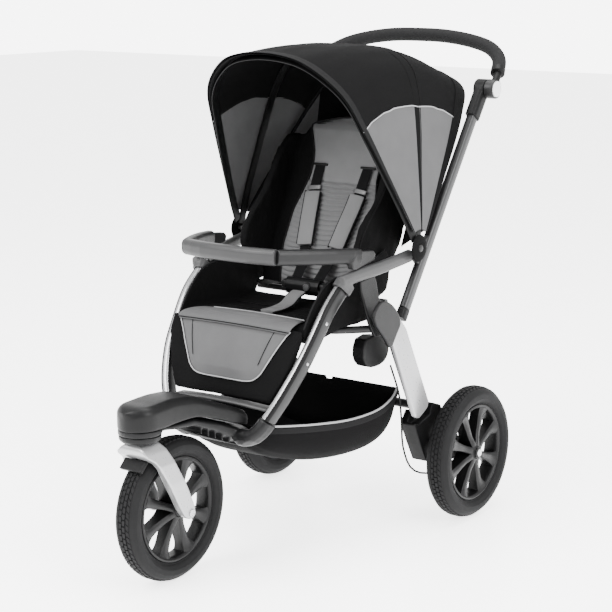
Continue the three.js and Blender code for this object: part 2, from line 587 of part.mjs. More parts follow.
const legRest = softPlate([
  [-175, 510], [-186, 498], [-202, 458], [-222, 396], [-231, 361], [-213, 356], [-200, 390], [-182, 450],
  [-170, 486],
], -200, 200, 2);
const legRestWidth = frontOutline([[-176, 560], [176, 560], [174, 515], [170, 470], [160, 430], [149, 400],
  [138, 376], [124, 340], [-124, 340], [-138, 376], [-149, 400], [-160, 430], [-170, 470], [-174, 515]],
    -300, -100);
const frontTubeRooms = [1, -1].map((s) => mirrorX(flatTube(tubePath, 28, 42, { steps: 14 }), s));
add('leg_rest', cut(common(legRest, legRestWidth), ...frontTubeRooms), BLACK_FABRIC);

// ---- harness: shoulder straps, buckle, crotch strap ----
const strapLine = [[226, 806, 66], [170, 722, 61], [134, 630, 43], [104, 576, 22]];
const shoulderStraps = [1, -1].map((s) => loft(strapLine.map(([y, z, x]) =>
  ring(vec(s * x, y - 12, z), vec(1, 0, 0), vec(0, -0.9, 0.43), 17, 5, 4, 8))));
const chestLink = box(-30, 30, 88, 97, 568, 582);
add('shoulder_harness', join(...shoulderStraps, chestLink), GREY_FABRIC);
const BUTTON_X = 16;
const buckleShell = softPlate([[60, 530], [54, 552], [66, 566], [82, 560], [82, 530]], -46, 46, 2);
const buttonPocket = pin(9, 38, 68, 0, 0, 16).rotateZ(Math.PI / 2).translate(BUTTON_X, 0, 549);
add('harness_buckle', cut(buckleShell, buttonPocket), BLACK_PLASTIC);
add('buckle_button', pin(8.5, 50, 64, 0, 0, 16).rotateZ(Math.PI / 2).translate(BUTTON_X, 0, 549),
  GREY_PLASTIC);
add('crotch_strap', softPlate([
  [-4, 508.5], [8, 516], [30, 534], [49, 544], [49, 532], [34, 518], [14, 508.5],
], -20, 20, 2), GREY_FABRIC);

// ---- basket: open bag hung between the front tubes and the rear legs ----
const basketRows = [
  [-226, 96, 303, 262], [-190, 126, 300, 234], [-100, 158, 290, 202], [0, 180, 283, 184],
  [100, 188, 288, 178], [150, 188, 306, 184], [166, 187, 322, 194],
];
const basketSide = (w, y, top, low, inset) => {
  const row = [];
  const width = w - inset;
  for (let i = 0; i <= 10; i++) {
    const t = Math.PI * (i / 10);
    const round = Math.sign(Math.cos(t)) * Math.abs(Math.cos(t)) ** 0.45;
    const drop = Math.sin(t) ** 0.5;
    row.push(vec(width * round * (1 - 0.12 * drop), y, top - (top - low - inset) * drop));
  }
  return row;
};
const bag = skin(basketRows.map(([y, w, top, low]) => basketSide(w, y, top, low, 0)),
  basketRows.map(([y, w, top, low]) => basketSide(w, y, top, low, 4)));
const endPlate = (row, y0, y1) => {
  const [, w, top, low] = row;
  return frontOutline(basketSide(w, 0, top, low, 1).map((p) => [p.x, p.z]), y0, y1);
};
add('basket', join(bag, endPlate(basketRows[0], -227, -223), endPlate(basketRows[6], 163, 167)),
  BLACK_FABRIC);

// ---- brake cables: down the rear legs and round to the hubs ----
const cablePath = [
  vec(217, 92, 392), vec(217, 128, 318), vec(216, 140, 262), vec(214, 152, 190), vec(216, 186, 132),
  vec(226, 240, 110), vec(234, 292, 120), vec(236, 312, 134),
];
for (const [side, s] of SIDES) {
  const cable = cut(roundTube(cablePath, 2.6, 20, 6), plate(bracketOutline, 205.7, 245.3));
  add(`brake_cable_${side}`, mirrorX(cable, s), BLACK_PLASTIC);
}

export default stroller;
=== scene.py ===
"""Looks of the three-wheel jogging stroller: every piece is built in the CAD model's frame.
Lengths in this file are millimetres until mesh_object() turns them into metres."""
import math

import bmesh
import bpy
import numpy as np
from mathutils import Matrix, Vector


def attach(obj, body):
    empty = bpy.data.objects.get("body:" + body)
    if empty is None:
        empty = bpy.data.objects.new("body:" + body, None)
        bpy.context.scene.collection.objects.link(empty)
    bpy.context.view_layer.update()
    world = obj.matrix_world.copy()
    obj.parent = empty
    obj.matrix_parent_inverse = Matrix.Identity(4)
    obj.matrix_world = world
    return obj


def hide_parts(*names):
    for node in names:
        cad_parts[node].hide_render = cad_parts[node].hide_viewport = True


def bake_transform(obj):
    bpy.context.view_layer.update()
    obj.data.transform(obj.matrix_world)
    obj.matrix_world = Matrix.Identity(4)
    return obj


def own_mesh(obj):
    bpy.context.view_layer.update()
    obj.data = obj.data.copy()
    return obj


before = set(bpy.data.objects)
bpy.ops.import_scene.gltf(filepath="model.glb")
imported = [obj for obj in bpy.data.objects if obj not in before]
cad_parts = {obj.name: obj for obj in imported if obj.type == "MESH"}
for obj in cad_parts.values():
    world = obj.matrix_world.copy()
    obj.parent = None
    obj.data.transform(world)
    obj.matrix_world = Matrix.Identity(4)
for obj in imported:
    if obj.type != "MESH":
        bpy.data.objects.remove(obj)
# a new file's own cube, light and camera
for spare in [bpy.data.objects.get(name) for name in ("Cube", "Light", "Camera")]:
    if spare is not None:
        bpy.data.objects.remove(spare)
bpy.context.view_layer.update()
SIDES = (("left", 1), ("right", -1))
MM = 0.001

# ---------------------------------------------------------------- camera, light and floor
WORLD_LIGHT = 2.2
BACKDROP_LIGHT = 7.0
FLOOR_HALF = 14.0
LENS, SENSOR, VIEW_DEPTH = 101.78, 36.0, 60
AZIMUTH, ELEVATION = math.radians(36.22), math.radians(11.56)
CAMERA_AT = Vector((2.255, -3.0045, 1.282))
CAMERA_BACK = Vector((math.sin(AZIMUTH) * math.cos(ELEVATION),
                      -math.cos(AZIMUTH) * math.cos(ELEVATION), math.sin(ELEVATION)))
# place, target, side of the square and watts of each soft light
LIGHTS = {"key": ((-1.2, -3.2, 3.4), (0, 0, 0.5), 2.6, 380),
          "side": ((3.6, -0.6, 2.4), (0, 0, 0.5), 2.4, 240),
          "top": ((0.2, 0.4, 4.2), (0, 0, 0.4), 2.8, 260)}


def aimed(name, data, place, way):
    """A camera or light at a place, looking along a direction."""
    made = bpy.data.objects.new(name, data)
    bpy.context.collection.objects.link(made)
    made.location = place
    made.rotation_mode = "QUATERNION"
    made.rotation_quaternion = way.to_track_quat("-Z", "Y")
    return made


def add_camera():
    data = bpy.data.cameras.new("camera")
    data.lens, data.sensor_width, data.clip_end = LENS, SENSOR, VIEW_DEPTH
    bpy.context.scene.camera = aimed("camera", data, CAMERA_AT, -CAMERA_BACK)


def add_studio():
    world = bpy.data.worlds.new("studio")
    world.use_nodes = True
    nodes, links = world.node_tree.nodes, world.node_tree.links
    back = nodes["Background"]
    back.inputs["Color"].default_value = (1.0, 1.0, 1.0, 1.0)
    seen = nodes.new("ShaderNodeMapRange")
    seen.inputs["To Min"].default_value = WORLD_LIGHT
    seen.inputs["To Max"].default_value = BACKDROP_LIGHT
    links.new(nodes.new("ShaderNodeLightPath").outputs["Is Camera Ray"], seen.inputs["Value"])
    links.new(seen.outputs["Result"], back.inputs["Strength"])
    bpy.context.scene.world = world
    for name, (place, target, size, power) in LIGHTS.items():
        data = bpy.data.lights.new(name, "AREA")
        data.shape, data.size, data.energy = "SQUARE", size, power
        aimed(name, data, place, Vector(target) - Vector(place))
    mesh = bpy.data.meshes.new("floor")
    corners = ((-1, -1), (1, -1), (1, 1), (-1, 1))
    mesh.from_pydata([(x * FLOOR_HALF, y * FLOOR_HALF, 0) for x, y in corners], [], [(0, 1, 2, 3)])
    mesh.materials.append(MAT["floor"])
    link("floor", mesh)


# ---------------------------------------------------------------- materials
MAT = {}


class Shader:
    """A Principled material put together node by node."""

    def __init__(self, name, colour, roughness, metallic=0.0, gloss=0.5):
        self.material = bpy.data.materials.new(name)
        self.material.use_nodes = True
        self.tree = self.material.node_tree
        self.principled = self.tree.nodes["Principled BSDF"]
        self.principled.inputs["Base Color"].default_value = (*colour, 1)
        self.principled.inputs["Roughness"].default_value = roughness
        self.principled.inputs["Metallic"].default_value = metallic
        self.principled.inputs["Specular IOR Level"].default_value = gloss
        self.colour, self.roughness = colour, roughness
        self.place = self.tree.nodes.new("ShaderNodeTexCoord").outputs["Object"]
        self.normal = None
        MAT[name] = self.material

    def feed(self, socket, value):
        """Links a socket to another node's, or sets its value."""
        if isinstance(value, bpy.types.NodeSocket):
            self.tree.links.new(value, socket)
        else:
            socket.default_value = value

    def node(self, kind, **values):
        made = self.tree.nodes.new(kind)
        for key, value in values.items():
            self.feed(made.inputs[key], value)
        return made

    def noise(self, scale, detail):
        return self.node("ShaderNodeTexNoise", Vector=self.place, Scale=scale, Detail=detail).outputs["Fac"]

    def math(self, operation, a, b=0.0):
        made = self.tree.nodes.new("ShaderNodeMath")
        made.operation = operation
        self.feed(made.inputs[0], a)
        self.feed(made.inputs[1], b)
        return made.outputs[0]

    def span(self, fac, low, high):
        made = self.node("ShaderNodeMapRange", Value=fac)
        made.inputs["To Min"].default_value = low
        made.inputs["To Max"].default_value = high
        return made.outputs[0]

    def vary_colour(self, fac, darker=0.85, lighter=1.12):
        ramp = self.tree.nodes.new("ShaderNodeMix")
        ramp.data_type = "RGBA"
        self.tree.links.new(fac, ramp.inputs["Factor"])
        ramp.inputs["A"].default_value = (*[c * darker for c in self.colour], 1)
        ramp.inputs["B"].default_value = (*[min(1, c * lighter) for c in self.colour], 1)
        self.tree.links.new(ramp.outputs["Result"], self.principled.inputs["Base Color"])
        return self

    def vary_roughness(self, fac, spread=0.12):
        low, high = self.roughness - spread, self.roughness + spread
        self.tree.links.new(self.span(fac, low, high), self.principled.inputs["Roughness"])
        return self

    def bump(self, height, strength, distance):
        made = self.node("ShaderNodeBump", Height=height, Strength=strength, Distance=distance)
        if self.normal is not None:
            self.tree.links.new(self.normal, made.inputs["Normal"])
        self.normal = made.outputs["Normal"]
        self.tree.links.new(self.normal, self.principled.inputs["Normal"])
        return self


def plastic(name, colour, roughness, gloss):
    made = Shader(name, colour, roughness, gloss=gloss)
    made.vary_colour(made.noise(9, 3), 0.90, 1.08)
    made.vary_roughness(made.noise(60, 5), 0.07)
    made.bump(made.noise(2600, 2), 0.25, 0.0004)


def metal(name, colour, roughness, metallic):
    made = Shader(name, colour, roughness, metallic, gloss=0.3)
    made.vary_colour(made.noise(14, 3), 0.94, 1.05)
    made.vary_roughness(made.noise(220, 4), 0.08)
    made.bump(made.noise(900, 2), 0.08, 0.0003)


def cloth(name, colour, roughness, thread, depth, mottle):
    """Plain weave: two sets of threads, slightly uneven, crossing at right angles."""
    made = Shader(name, colour, roughness, gloss=0.06)
    split = made.node("ShaderNodeSeparateXYZ", Vector=made.place).outputs

    def threads(across):
        turns = made.math("MULTIPLY", across, math.pi / thread)
        return made.math("ABSOLUTE", made.math("SINE", turns))
    slant = made.math("ADD", split["X"], made.math("MULTIPLY", split["Y"], 0.7))
    weave = made.math("MULTIPLY", threads(split["Z"]), threads(slant))
    cloudy, fleck = made.noise(26, 4), made.noise(700, 2)
    uneven = made.math("ADD", made.math("MULTIPLY", cloudy, 0.35), made.math("MULTIPLY", fleck, 0.25))
    made.vary_colour(made.math("ADD", made.math("MULTIPLY", weave, 0.45), uneven),
                     1 - 0.38 * mottle, 1 + 0.32 * mottle)
    made.vary_roughness(fleck, 0.05)
    made.bump(cloudy, 0.12, 0.003)
    made.bump(weave, depth, 0.0008)


# Each colour is a grey, given with its slightly higher blue share.
PLASTICS = {  # grey, blue, roughness, gloss
    "nose_plastic": (0.0026, 0.0027, 0.36, 0.13), "black_plastic": (0.0022, 0.0023, 0.42, 0.10),
    "dark_plastic": (0.0034, 0.0036, 0.40, 0.14), "grey_plastic": (0.0062, 0.0064, 0.38, 0.18),
    "mid_plastic": (0.030, 0.0305, 0.38, 0.24), "light_plastic": (0.040, 0.0405, 0.34, 0.32),
    "arm_plastic": (0.022, 0.0224, 0.36, 0.20), "pale_plastic": (0.60, 0.605, 0.38, 0.4),
    # the darker rim colour is painted shade for the rims' side walls, inner faces and recesses
    "rim_lip": (0.0062, 0.0064, 0.38, 0.14), "rim_plastic": (0.0024, 0.0025, 0.36, 0.12)}
METALS = {  # grey, blue, roughness, metallic
    "silver_lacquer": (0.30, 0.305, 0.30, 0.62), "tube_dark": (0.014, 0.0144, 0.34, 0.55),
    # the bright tube colour is a painted highlight, used only for a strip on the front tubes
    "tube_grey": (0.046, 0.047, 0.33, 0.75), "tube_bright": (0.27, 0.275, 0.26, 0.85),
    "steel": (0.40, 0.41, 0.25, 0.95)}
CLOTHS = {  # grey, blue, roughness, thread in metres, depth, mottle
    "black_cloth": (0.0021, 0.0022, 0.9, 0.0012, 0.3, 0.7),
    "black_mesh": (0.0028, 0.0029, 0.85, 0.0022, 0.5, 1.0),
    "grey_cloth": (0.066, 0.067, 0.92, 0.0011, 0.3, 0.8),
    # the seat's grey is the grey cloth painted about half again lighter: painted light to offset the shade
    # inside the seat
    "seat_grey": (0.098, 0.099, 0.92, 0.0011, 0.3, 0.8),
    "grey_ruched": (0.086, 0.087, 0.93, 0.0013, 0.35, 0.9),
    "binding": (0.0068, 0.0070, 0.85, 0.0016, 0.4, 0.7),
    "piping": (0.22, 0.223, 0.75, 0.0011, 0.3, 0.5),
    "webbing": (0.0032, 0.0034, 0.8, 0.0016, 0.5, 0.9)}


def make_materials():
    for make, table in ((plastic, PLASTICS), (metal, METALS), (cloth, CLOTHS)):
        for name, (grey, blue, *values) in table.items():
            make(name, (grey, grey, blue), *values)

    rubber = Shader("rubber", (0.0058, 0.0058, 0.0060), 0.66, gloss=0.09)
    rubber.vary_colour(rubber.noise(30, 4), 0.8, 1.3).vary_roughness(rubber.noise(140, 4), 0.1)
    rubber.bump(rubber.noise(1500, 3), 0.2, 0.0005)

    foam = Shader("foam", (0.0085, 0.0085, 0.0087), 0.88, gloss=0.08)
    cells = foam.node("ShaderNodeTexVoronoi", Vector=foam.place, Scale=1100.0).outputs["Distance"]
    foam.vary_colour(foam.noise(160, 4), 0.7, 1.5).bump(cells, 0.45, 0.0007)

    mesh_net = Shader("net_cloth", (0.0035, 0.0035, 0.0036), 0.85, gloss=0.06)
    holes = mesh_net.node("ShaderNodeTexVoronoi", Vector=mesh_net.place, Scale=420.0).outputs["Distance"]
    mesh_net.vary_colour(holes, 0.35, 1.7).bump(holes, 0.5, 0.001)

    floor = Shader("floor", (0.93, 0.93, 0.93), 0.30, gloss=0.5)
    floor.vary_roughness(floor.noise(4, 3), 0.04)
    floor.principled.inputs["Emission Color"].default_value = (1, 1, 1, 1)
    floor.principled.inputs["Emission Strength"].default_value = 2.6


# ---------------------------------------------------------------- mesh helpers
def link(name, mesh):
    made = bpy.data.objects.new(name, mesh)
    bpy.context.collection.objects.link(made)
    return made


def paint(mesh, materials, index=None):
    for material in materials:
        mesh.materials.append(MAT[material])
    if index is not None:
        mesh.polygons.foreach_set("material_index", np.asarray(index, np.int32))


def mesh_object(name, points, faces, materials, index=None, sharp=35, flip_check=True):
    """A piece from points in millimetres; index gives each face's material."""
    mesh = bpy.data.meshes.new(name)
    mesh.from_pydata([tuple(float(c) * MM for c in p) for p in points], [], [tuple(f) for f in faces])
    paint(mesh, materials, index)
    mesh.validate()
    if flip_check:
        bm = bmesh.new()
        bm.from_mesh(mesh)
        bmesh.ops.recalc_face_normals(bm, faces=bm.faces)
        bm.to_mesh(mesh)
        bm.free()
    mesh.shade_smooth()
    if sharp:
        mesh.set_sharp_from_angle(angle=math.radians(sharp))
    return link(name, mesh)


def modified(piece, *modifiers):
    """Adds modifiers, each (kind, {settings}), and applies them all."""
    for kind, settings in modifiers:
        modifier = piece.modifiers.new(kind.lower(), kind)
        for key, value in settings.items():
            setattr(modifier, key, value)
    bpy.context.view_layer.update()
    graph = bpy.context.evaluated_depsgraph_get()
    mesh = bpy.data.meshes.new_from_object(piece.evaluated_get(graph))
    piece.modifiers.clear()
    old, piece.data = piece.data, mesh
    bpy.data.meshes.remove(old)
    return piece


def subdivided(piece):
    modified(piece, ("SUBSURF", {"levels": 1, "render_levels": 1}))
    piece.data.shade_smooth()
    return piece


def bevelled(piece, width, segments):
    modified(piece, ("BEVEL", {"width": width * MM, "segments": segments, "limit_method": "ANGLE",
                               "angle_limit": math.radians(30)}))
    piece.data.shade_smooth()
    piece.data.set_sharp_from_angle(angle=math.radians(40))
    return piece


def copy_node(name, node):
    """A new mesh with the solids of a CAD node."""
    bm = bmesh.new()
    bm.from_mesh(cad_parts[node].data)
    bmesh.ops.remove_doubles(bm, verts=bm.verts, dist=1e-5)
    mesh = bpy.data.meshes.new(name)
    bm.to_mesh(mesh)
    bm.free()
    return link(name, mesh)


def moulded(name, node, material, voxel, rounds):
    """A moulding with rounded edges, from a CAD solid remeshed at voxel millimetres and smoothed."""
    piece = copy_node(name, node)
    modified(piece, ("REMESH", {"mode": "VOXEL", "voxel_size": voxel * MM}),
             ("SMOOTH", {"factor": 0.5, "iterations": rounds}))
    piece.data.materials.clear()
    paint(piece.data, [material])
    piece.data.shade_smooth()
    return piece


def done(piece, body, slot, *nodes):
    """The piece rides on its body and stands for the nodes; slot is not used."""
    if nodes:
        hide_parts(*nodes)
    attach(piece, body)
    return piece


def mould(name, node, material, voxel, rounds, body, slot):
    """A moulding that rides on a body and stands for its CAD node."""
    done(moulded(name, node, material, voxel, rounds), body, slot, node)


def joined(name, pieces):
    """One object from several, keeping their materials."""
    first = pieces[0]
    materials = []
    bm = bmesh.new()
    for piece in pieces:
        shift = [0] * max(1, len(piece.data.materials))
        for k, material in enumerate(piece.data.materials):
            if material not in materials:
                materials.append(material)
            shift[k] = materials.index(material)
        start = len(bm.faces)
        bm.from_mesh(piece.data)
        bm.faces.ensure_lookup_table()
        for face in bm.faces[start:]:
            face.material_index = shift[min(face.material_index, len(shift) - 1)]
    mesh = bpy.data.meshes.new(name)
    bm.to_mesh(mesh)
    bm.free()
    for material in materials:
        mesh.materials.append(material)
    for piece in pieces:
        bpy.data.objects.remove(piece)
    return link(name, mesh)


# ---------------------------------------------------------------- curves and surfaces, in millimetres
def vec(*values):
    return np.array(values, float)


def unit(v):
    return v / max(1e-12, np.linalg.norm(v))


def spline(points, count):
    """Evenly spaced points on a centripetal Catmull-Rom curve through the given ones."""
    p = np.array(points, float)
    p = np.vstack([2 * p[0] - p[1], p, 2 * p[-1] - p[-2]])
    fine = []
    for k in range(1, len(p) - 2):
        knots = [0.0]
        for a, b in zip(p[k - 1:k + 2], p[k:k + 3]):
            knots.append(knots[-1] + max(1e-6, np.linalg.norm(b - a)) ** 0.5)
        t = np.linspace(knots[1], knots[2], 24, endpoint=False)[:, None]

        def lerp(a, b, i, j):
            return (knots[j] - t) / (knots[j] - knots[i]) * a + (t - knots[i]) / (knots[j] - knots[i]) * b
        a1, a2, a3 = (lerp(p[k - 1 + i], p[k + i], i, i + 1) for i in range(3))
        b1, b2 = lerp(a1, a2, 0, 2), lerp(a2, a3, 1, 3)
        fine.append(lerp(b1, b2, 1, 2))
    fine.append(p[-2][None])
    fine = np.vstack(fine)
    along = np.concatenate([[0], np.cumsum(np.linalg.norm(np.diff(fine, axis=0), axis=1))])
    want = np.linspace(0, along[-1], count)
    return np.stack([np.interp(want, along, fine[:, c]) for c in range(fine.shape[1])], axis=1)


def superellipse(width, depth, power=3.0, count=24):
    t = 2 * np.pi * (np.arange(count) + 0.5) / count
    u = np.sign(np.cos(t)) * np.abs(np.cos(t)) ** (2 / power) * width / 2
    v = np.sign(np.sin(t)) * np.abs(np.sin(t)) ** (2 / power) * depth / 2
    return np.stack([u, v], axis=1)


def frames(path, hint):
    tangents = np.gradient(path, axis=0)
    ups, acrosses = [], []
    for tangent in tangents:
        up = unit(np.cross(unit(tangent), hint))
        ups.append(up)
        acrosses.append(unit(np.cross(up, unit(tangent))))
    return np.array(acrosses), np.array(ups)


def skin(rings, n):
    """Faces of a closed skin over so many rings of n points, with its two end caps."""
    faces = [(k * n + i, k * n + (i + 1) % n, (k + 1) * n + (i + 1) % n, (k + 1) * n + i)
             for k in range(rings - 1) for i in range(n)]
    return faces + [tuple(range(n)), tuple((rings - 1) * n + i for i in range(n))]


def tube(name, points, section, material, count=40, hint=(1, 0, 0), index=None, materials=None):
    """A section, [across, up], swept along a curve, its ends drawn in a little so that they look rounded."""
    path = spline(points, count)
    first, last = unit(path[1] - path[0]), unit(path[-1] - path[-2])
    path = np.vstack([path[0], path[0] + first * 0.8, path[1:-1], path[-1] - last * 0.8, path[-1]])
    across, up = frames(path, np.array(hint, float))
    made = []
    for k, centre in enumerate(path):
        grow = 0.9 if k in (0, len(path) - 1) else 1
        made += [centre + across[k] * u * grow + up[k] * v * grow for u, v in section]
    faces = skin(len(path), len(section))
    if index is not None:
        index = [index[k % len(section)] for k in range(len(faces) - 2)] + [0, 0]
    return mesh_object(name, made, faces, materials or [material], index)


def lathe(profile, centre, axis, segments, closed=True):
    """Points and faces of a profile, [radius, along], turned about an X or Y axis through the centre."""
    points, faces = [], []
    n = len(profile)
    for k in range(segments):
        t = 2 * math.pi * k / segments
        for r, h in profile:
            c, s = r * math.cos(t), r * math.sin(t)
            points.append(np.array((h, c, s) if axis == "x" else (c, h, s)) + np.array(centre))
        following = (k + 1) % segments
        for i in range(n if closed else n - 1):
            j = (i + 1) % n
            faces.append((k * n + i, following * n + i, following * n + j, k * n + j))
    return points, faces


def turned(name, profile, centre, material, axis, segments, closed=False, index=None, materials=None):
    """A turned piece; an open profile starts and ends on the axis."""
    points, faces = lathe(profile, centre, axis, segments, closed)
    if index is not None:
        rows = len(profile) if closed else len(profile) - 1
        index = [index[k % rows] for k in range(len(faces))]
    made = mesh_object(name, points, faces, materials or [material], index, sharp=0)
    bm = bmesh.new()
    bm.from_mesh(made.data)
    bmesh.ops.remove_doubles(bm, verts=bm.verts, dist=1e-6)
    bmesh.ops.dissolve_degenerate(bm, dist=1e-7, edges=bm.edges)
    bmesh.ops.recalc_face_normals(bm, faces=bm.faces)
    bm.to_mesh(made.data)
    bm.free()
    made.data.shade_smooth()
    made.data.set_sharp_from_angle(angle=math.radians(35))
    return made


def slab(name, outline, x0, x1, material, bevel=2.0, segments=3):
    """Side-view outline, [y, z], made into a plate from x0 to x1 with rounded edges."""
    n = len(outline)
    points = [(x, y, z) for x in (x0, x1) for y, z in outline]
    faces = [tuple(range(n)), tuple(range(2 * n - 1, n - 1, -1))]
    faces += [(i, (i + 1) % n, n + (i + 1) % n, n + i) for i in range(n)]
    return bevelled(mesh_object(name, points, faces, [material]), bevel, segments)


def loft(name, rings, materials, index=None, sharp=35):
    """Closed skin over rings of points, all with the same number of points."""
    points = [p for ring in rings for p in ring]
    return mesh_object(name, points, skin(len(rings), len(rings[0])), materials, index, sharp)


def sheet_object(name, rows, thickness, materials, index=None, levels=1, outward=1.0):
    """A cloth sheet over rows of points, thickened to one side; index(row, column) gives the material."""
    rows = [np.array(row, float) for row in rows]
    n = len(rows[0])
    points = [p for row in rows for p in row]
    faces, slots = [], []
    for k in range(len(rows) - 1):
        for i in range(n - 1):
            faces.append((k * n + i, k * n + i + 1, (k + 1) * n + i + 1, (k + 1) * n + i))
            slots.append(index(k, i) if index else 0)
    piece = mesh_object(name, points, faces, materials, slots, sharp=0, flip_check=False)
    modified(piece, ("SOLIDIFY", {"thickness": thickness * MM, "offset": -outward}))
    if levels:
        subdivided(piece)
    piece.data.shade_smooth()
    return piece


def rod(name, r, x0, x1, centre, material, segments):
    """A plain cylinder along X."""
    return turned(name, [(0, x0), (r, x0), (r, x1), (0, x1)], centre, material, "x", segments)


def disc(name, r, x0, x1, y, z, material, edge, dome):
    """A short cylinder along X with a rounded outer edge, at x1, and a domed face."""
    way = 1 if x1 > x0 else -1
    profile = [(0, x0), (r, x0), (r, x1 - way * edge), (r - edge * 0.3, x1 - way * edge * 0.3),
               (r - edge, x1), (r * 0.5, x1 + way * dome * 0.7), (0, x1 + way * dome)]
    return turned(name, profile, (0, y, z), material, "x", 40)


def piping(name, points, r, material, count):
    """A thin round cord sewn along a seam."""
    return tube(name, points, superellipse(2 * r, 2 * r, 2.0, 8), material, count, hint=(0.13, 0.21, 0.97))


# ---------------------------------------------------------------- wheels
WHEEL_R, SPOKES = 152.5, 8
FRONT_AXLE_Y, REAR_AXLE_Y, TRACK_HALF = -400.0, 325.0, 282.0
STEER_Y, NOSE_R, NOSE_SEAM = -491.0, 46.0, 345.2


TYRE_HALF = [(112.95, 15.5), (113.2, 18.6), (115.4, 18.8), (117.0, 22.2), (121.0, 25.6), (125.2, 27.6),
             (125.8, 28.4), (131.0, 29.0), (137.2, 28.0), (138.0, 27.2), (142.5, 24.6), (146.6, 20.2),
             (149.0, 13.0), (149.9, 5.0)]
# rows of tread blocks: from and to across the tyre, radius, and shift as a share of a block
TREAD_LANES = [(-22.6, -17.6, 146.2, 0.5), (-16.2, -9.4, 149.4, 0.0), (-8.2, -0.6, 150.6, 0.5),
               (0.6, 8.2, 150.6, 0.0), (9.4, 16.2, 149.4, 0.5), (17.6, 22.6, 146.2, 0.0)]
TREAD_BLOCKS, TREAD_SLIT, TREAD_HEIGHT = 72, 0.16, 2.0


def tyre(name, x, y):
    """A smooth-walled tyre with separate raised blocks; the outer rows slant."""
    profile = TYRE_HALF + [(r, -h) for r, h in reversed(TYRE_HALF)]
    points, faces = lathe(profile, (x, y, WHEEL_R), "x", 96)
    for low, high, r, shift in TREAD_LANES:
        edge = abs(low + high) / 2 / 20
        for k in range(TREAD_BLOCKS):
            t0 = 2 * math.pi * (k + shift) / TREAD_BLOCKS
            t1 = t0 + 2 * math.pi * (1 - TREAD_SLIT) / TREAD_BLOCKS
            way = 1 if low + high > 0 else -1
            skew = 0.35 * 2 * math.pi / TREAD_BLOCKS * way * (abs(low + high) > 20)
            start = len(points)
            for top in (0, 1):
                for a, h, lean in ((t0, low, 0), (t1, low, 0), (t1, high, skew), (t0, high, skew)):
                    inset = 0.5 * top
                    drop = edge * (abs(h) - 12) * 0.42 if abs(h) > 12 else 0.0
                    rr = r - drop + (TREAD_HEIGHT if top else -2.0)
                    hh = h + (inset if h == low else -inset)
                    aa = a + lean + (inset if a == t0 else -inset) / rr
                    points.append(vec(hh + x, y + rr * math.cos(aa), WHEEL_R + rr * math.sin(aa)))
            s = start
            faces += [(s, s + 1, s + 2, s + 3), (s + 4, s + 7, s + 6, s + 5)]
            faces += [(s + i, s + 4 + i, s + 4 + (i + 1) % 4, s + (i + 1) % 4) for i in range(4)]
    return mesh_object(name, points, faces, ["rubber"], sharp=28)


def rim(name, x, y, hub_out):
    """Moulded rim: a channelled band, a hub and eight deep spokes with a raised grey ridge on each face;
    their side walls, the band's inner faces and the hub's side and recesses are painted a darker grey as
    painted shade.
    """
    lip = [(112.6, 16.8), (110.8, 19.6), (107.2, 20.4), (104.4, 18.6), (102.6, 15.0), (101.4, 6.0)]
    band = lip + [(r, -h) for r, h in reversed(lip)]
    # the band's inner faces take the darker rim colour: painted shade
    pieces = [turned(name + "_band", band, (0, 0, 0), "rim_lip", "x", 96, closed=True,
                     index=[0, 0, 0, 0, 1, 1, 1, 0, 0, 0, 0, 1], materials=["rim_lip", "rim_plastic"])]
    # radius, half depth, half width of the ridge and half width of the web behind it
    stations = [(15, hub_out - 3, 8, 9), (24, hub_out - 4, 5.5, 7.5), (40, hub_out - 8, 5.2, 7.4),
                (62, 14.5, 5.8, 8.6), (84, 13.5, 6.8, 11), (96, 15.2, 8.4, 14.5), (104, 18.2, 11, 20)]
    path = spline([(r, face, ridge) for r, face, ridge, web in stations], 16)
    webs = np.interp(path[:, 0], [s[0] for s in stations], [s[3] for s in stations])
    for k in range(SPOKES):
        t = 2 * math.pi * (k + 0.5) / SPOKES
        out, cross = vec(0, math.cos(t), math.sin(t)), vec(0, -math.sin(t), math.cos(t))
        rings = []
        for (r, face, ridge), web in zip(path, webs):
            outline = [(-ridge, face), (-ridge * 0.6, face + 1.0), (ridge * 0.6, face + 1.0), (ridge, face),
                       (web, face - 2.2), (web, -face + 2.2), (ridge, -face), (ridge * 0.6, -face - 1.0),
                       (-ridge * 0.6, -face - 1.0), (-ridge, -face), (-web, -face + 2.2), (-web, face - 2.2)]
            rings.append([out * r + cross * u + vec(h, 0, 0) for u, h in outline])
        # the spokes' side walls take the darker rim colour: painted shade
        index = [1 if i in (4, 10) else 0 for _ in range(len(rings) - 1) for i in range(12)] + [1, 1]
        pieces.append(loft(f"{name}_spoke", rings, ["rim_lip", "rim_plastic"], index, sharp=28))
    # the hub's side and recesses take the darker rim colour: painted shade
    for way in (1, -1):
        profile = [(0, way * 5), (20, way * 5), (20, way * (hub_out - 4)), (18.6, way * (hub_out - 2.4)),
                   (15.5, way * (hub_out - 1.6)), (14.6, way * (hub_out - 2.6)), (13.4, way * hub_out),
                   (9.6, way * hub_out), (9.2, way * (hub_out - 1.5)), (0, way * (hub_out - 1.5))]
        pieces.append(turned(name + "_hub", profile, (0, 0, 0), "rim_lip", "x", 48,
                             index=[1, 1, 0, 0, 1, 0, 0, 1, 1], materials=["rim_lip", "rim_plastic"]))
    made = joined(name, pieces)
    made.data.transform(Matrix.Translation((x * MM, y * MM, WHEEL_R * MM)))
    return made


HUB_CAP = [(0, 306.4), (12.0, 306.4), (12.2, 308.8), (11.0, 310.4), (9.6, 310.6), (9.3, 309.6), (8.6, 309.6),
           (8.3, 311.8), (6.5, 313.2), (0, 313.4)]


def sided(profile, s):
    """A lathe profile, or its mirror image on the other side."""
    return [(r, x * s) for r, x in profile]


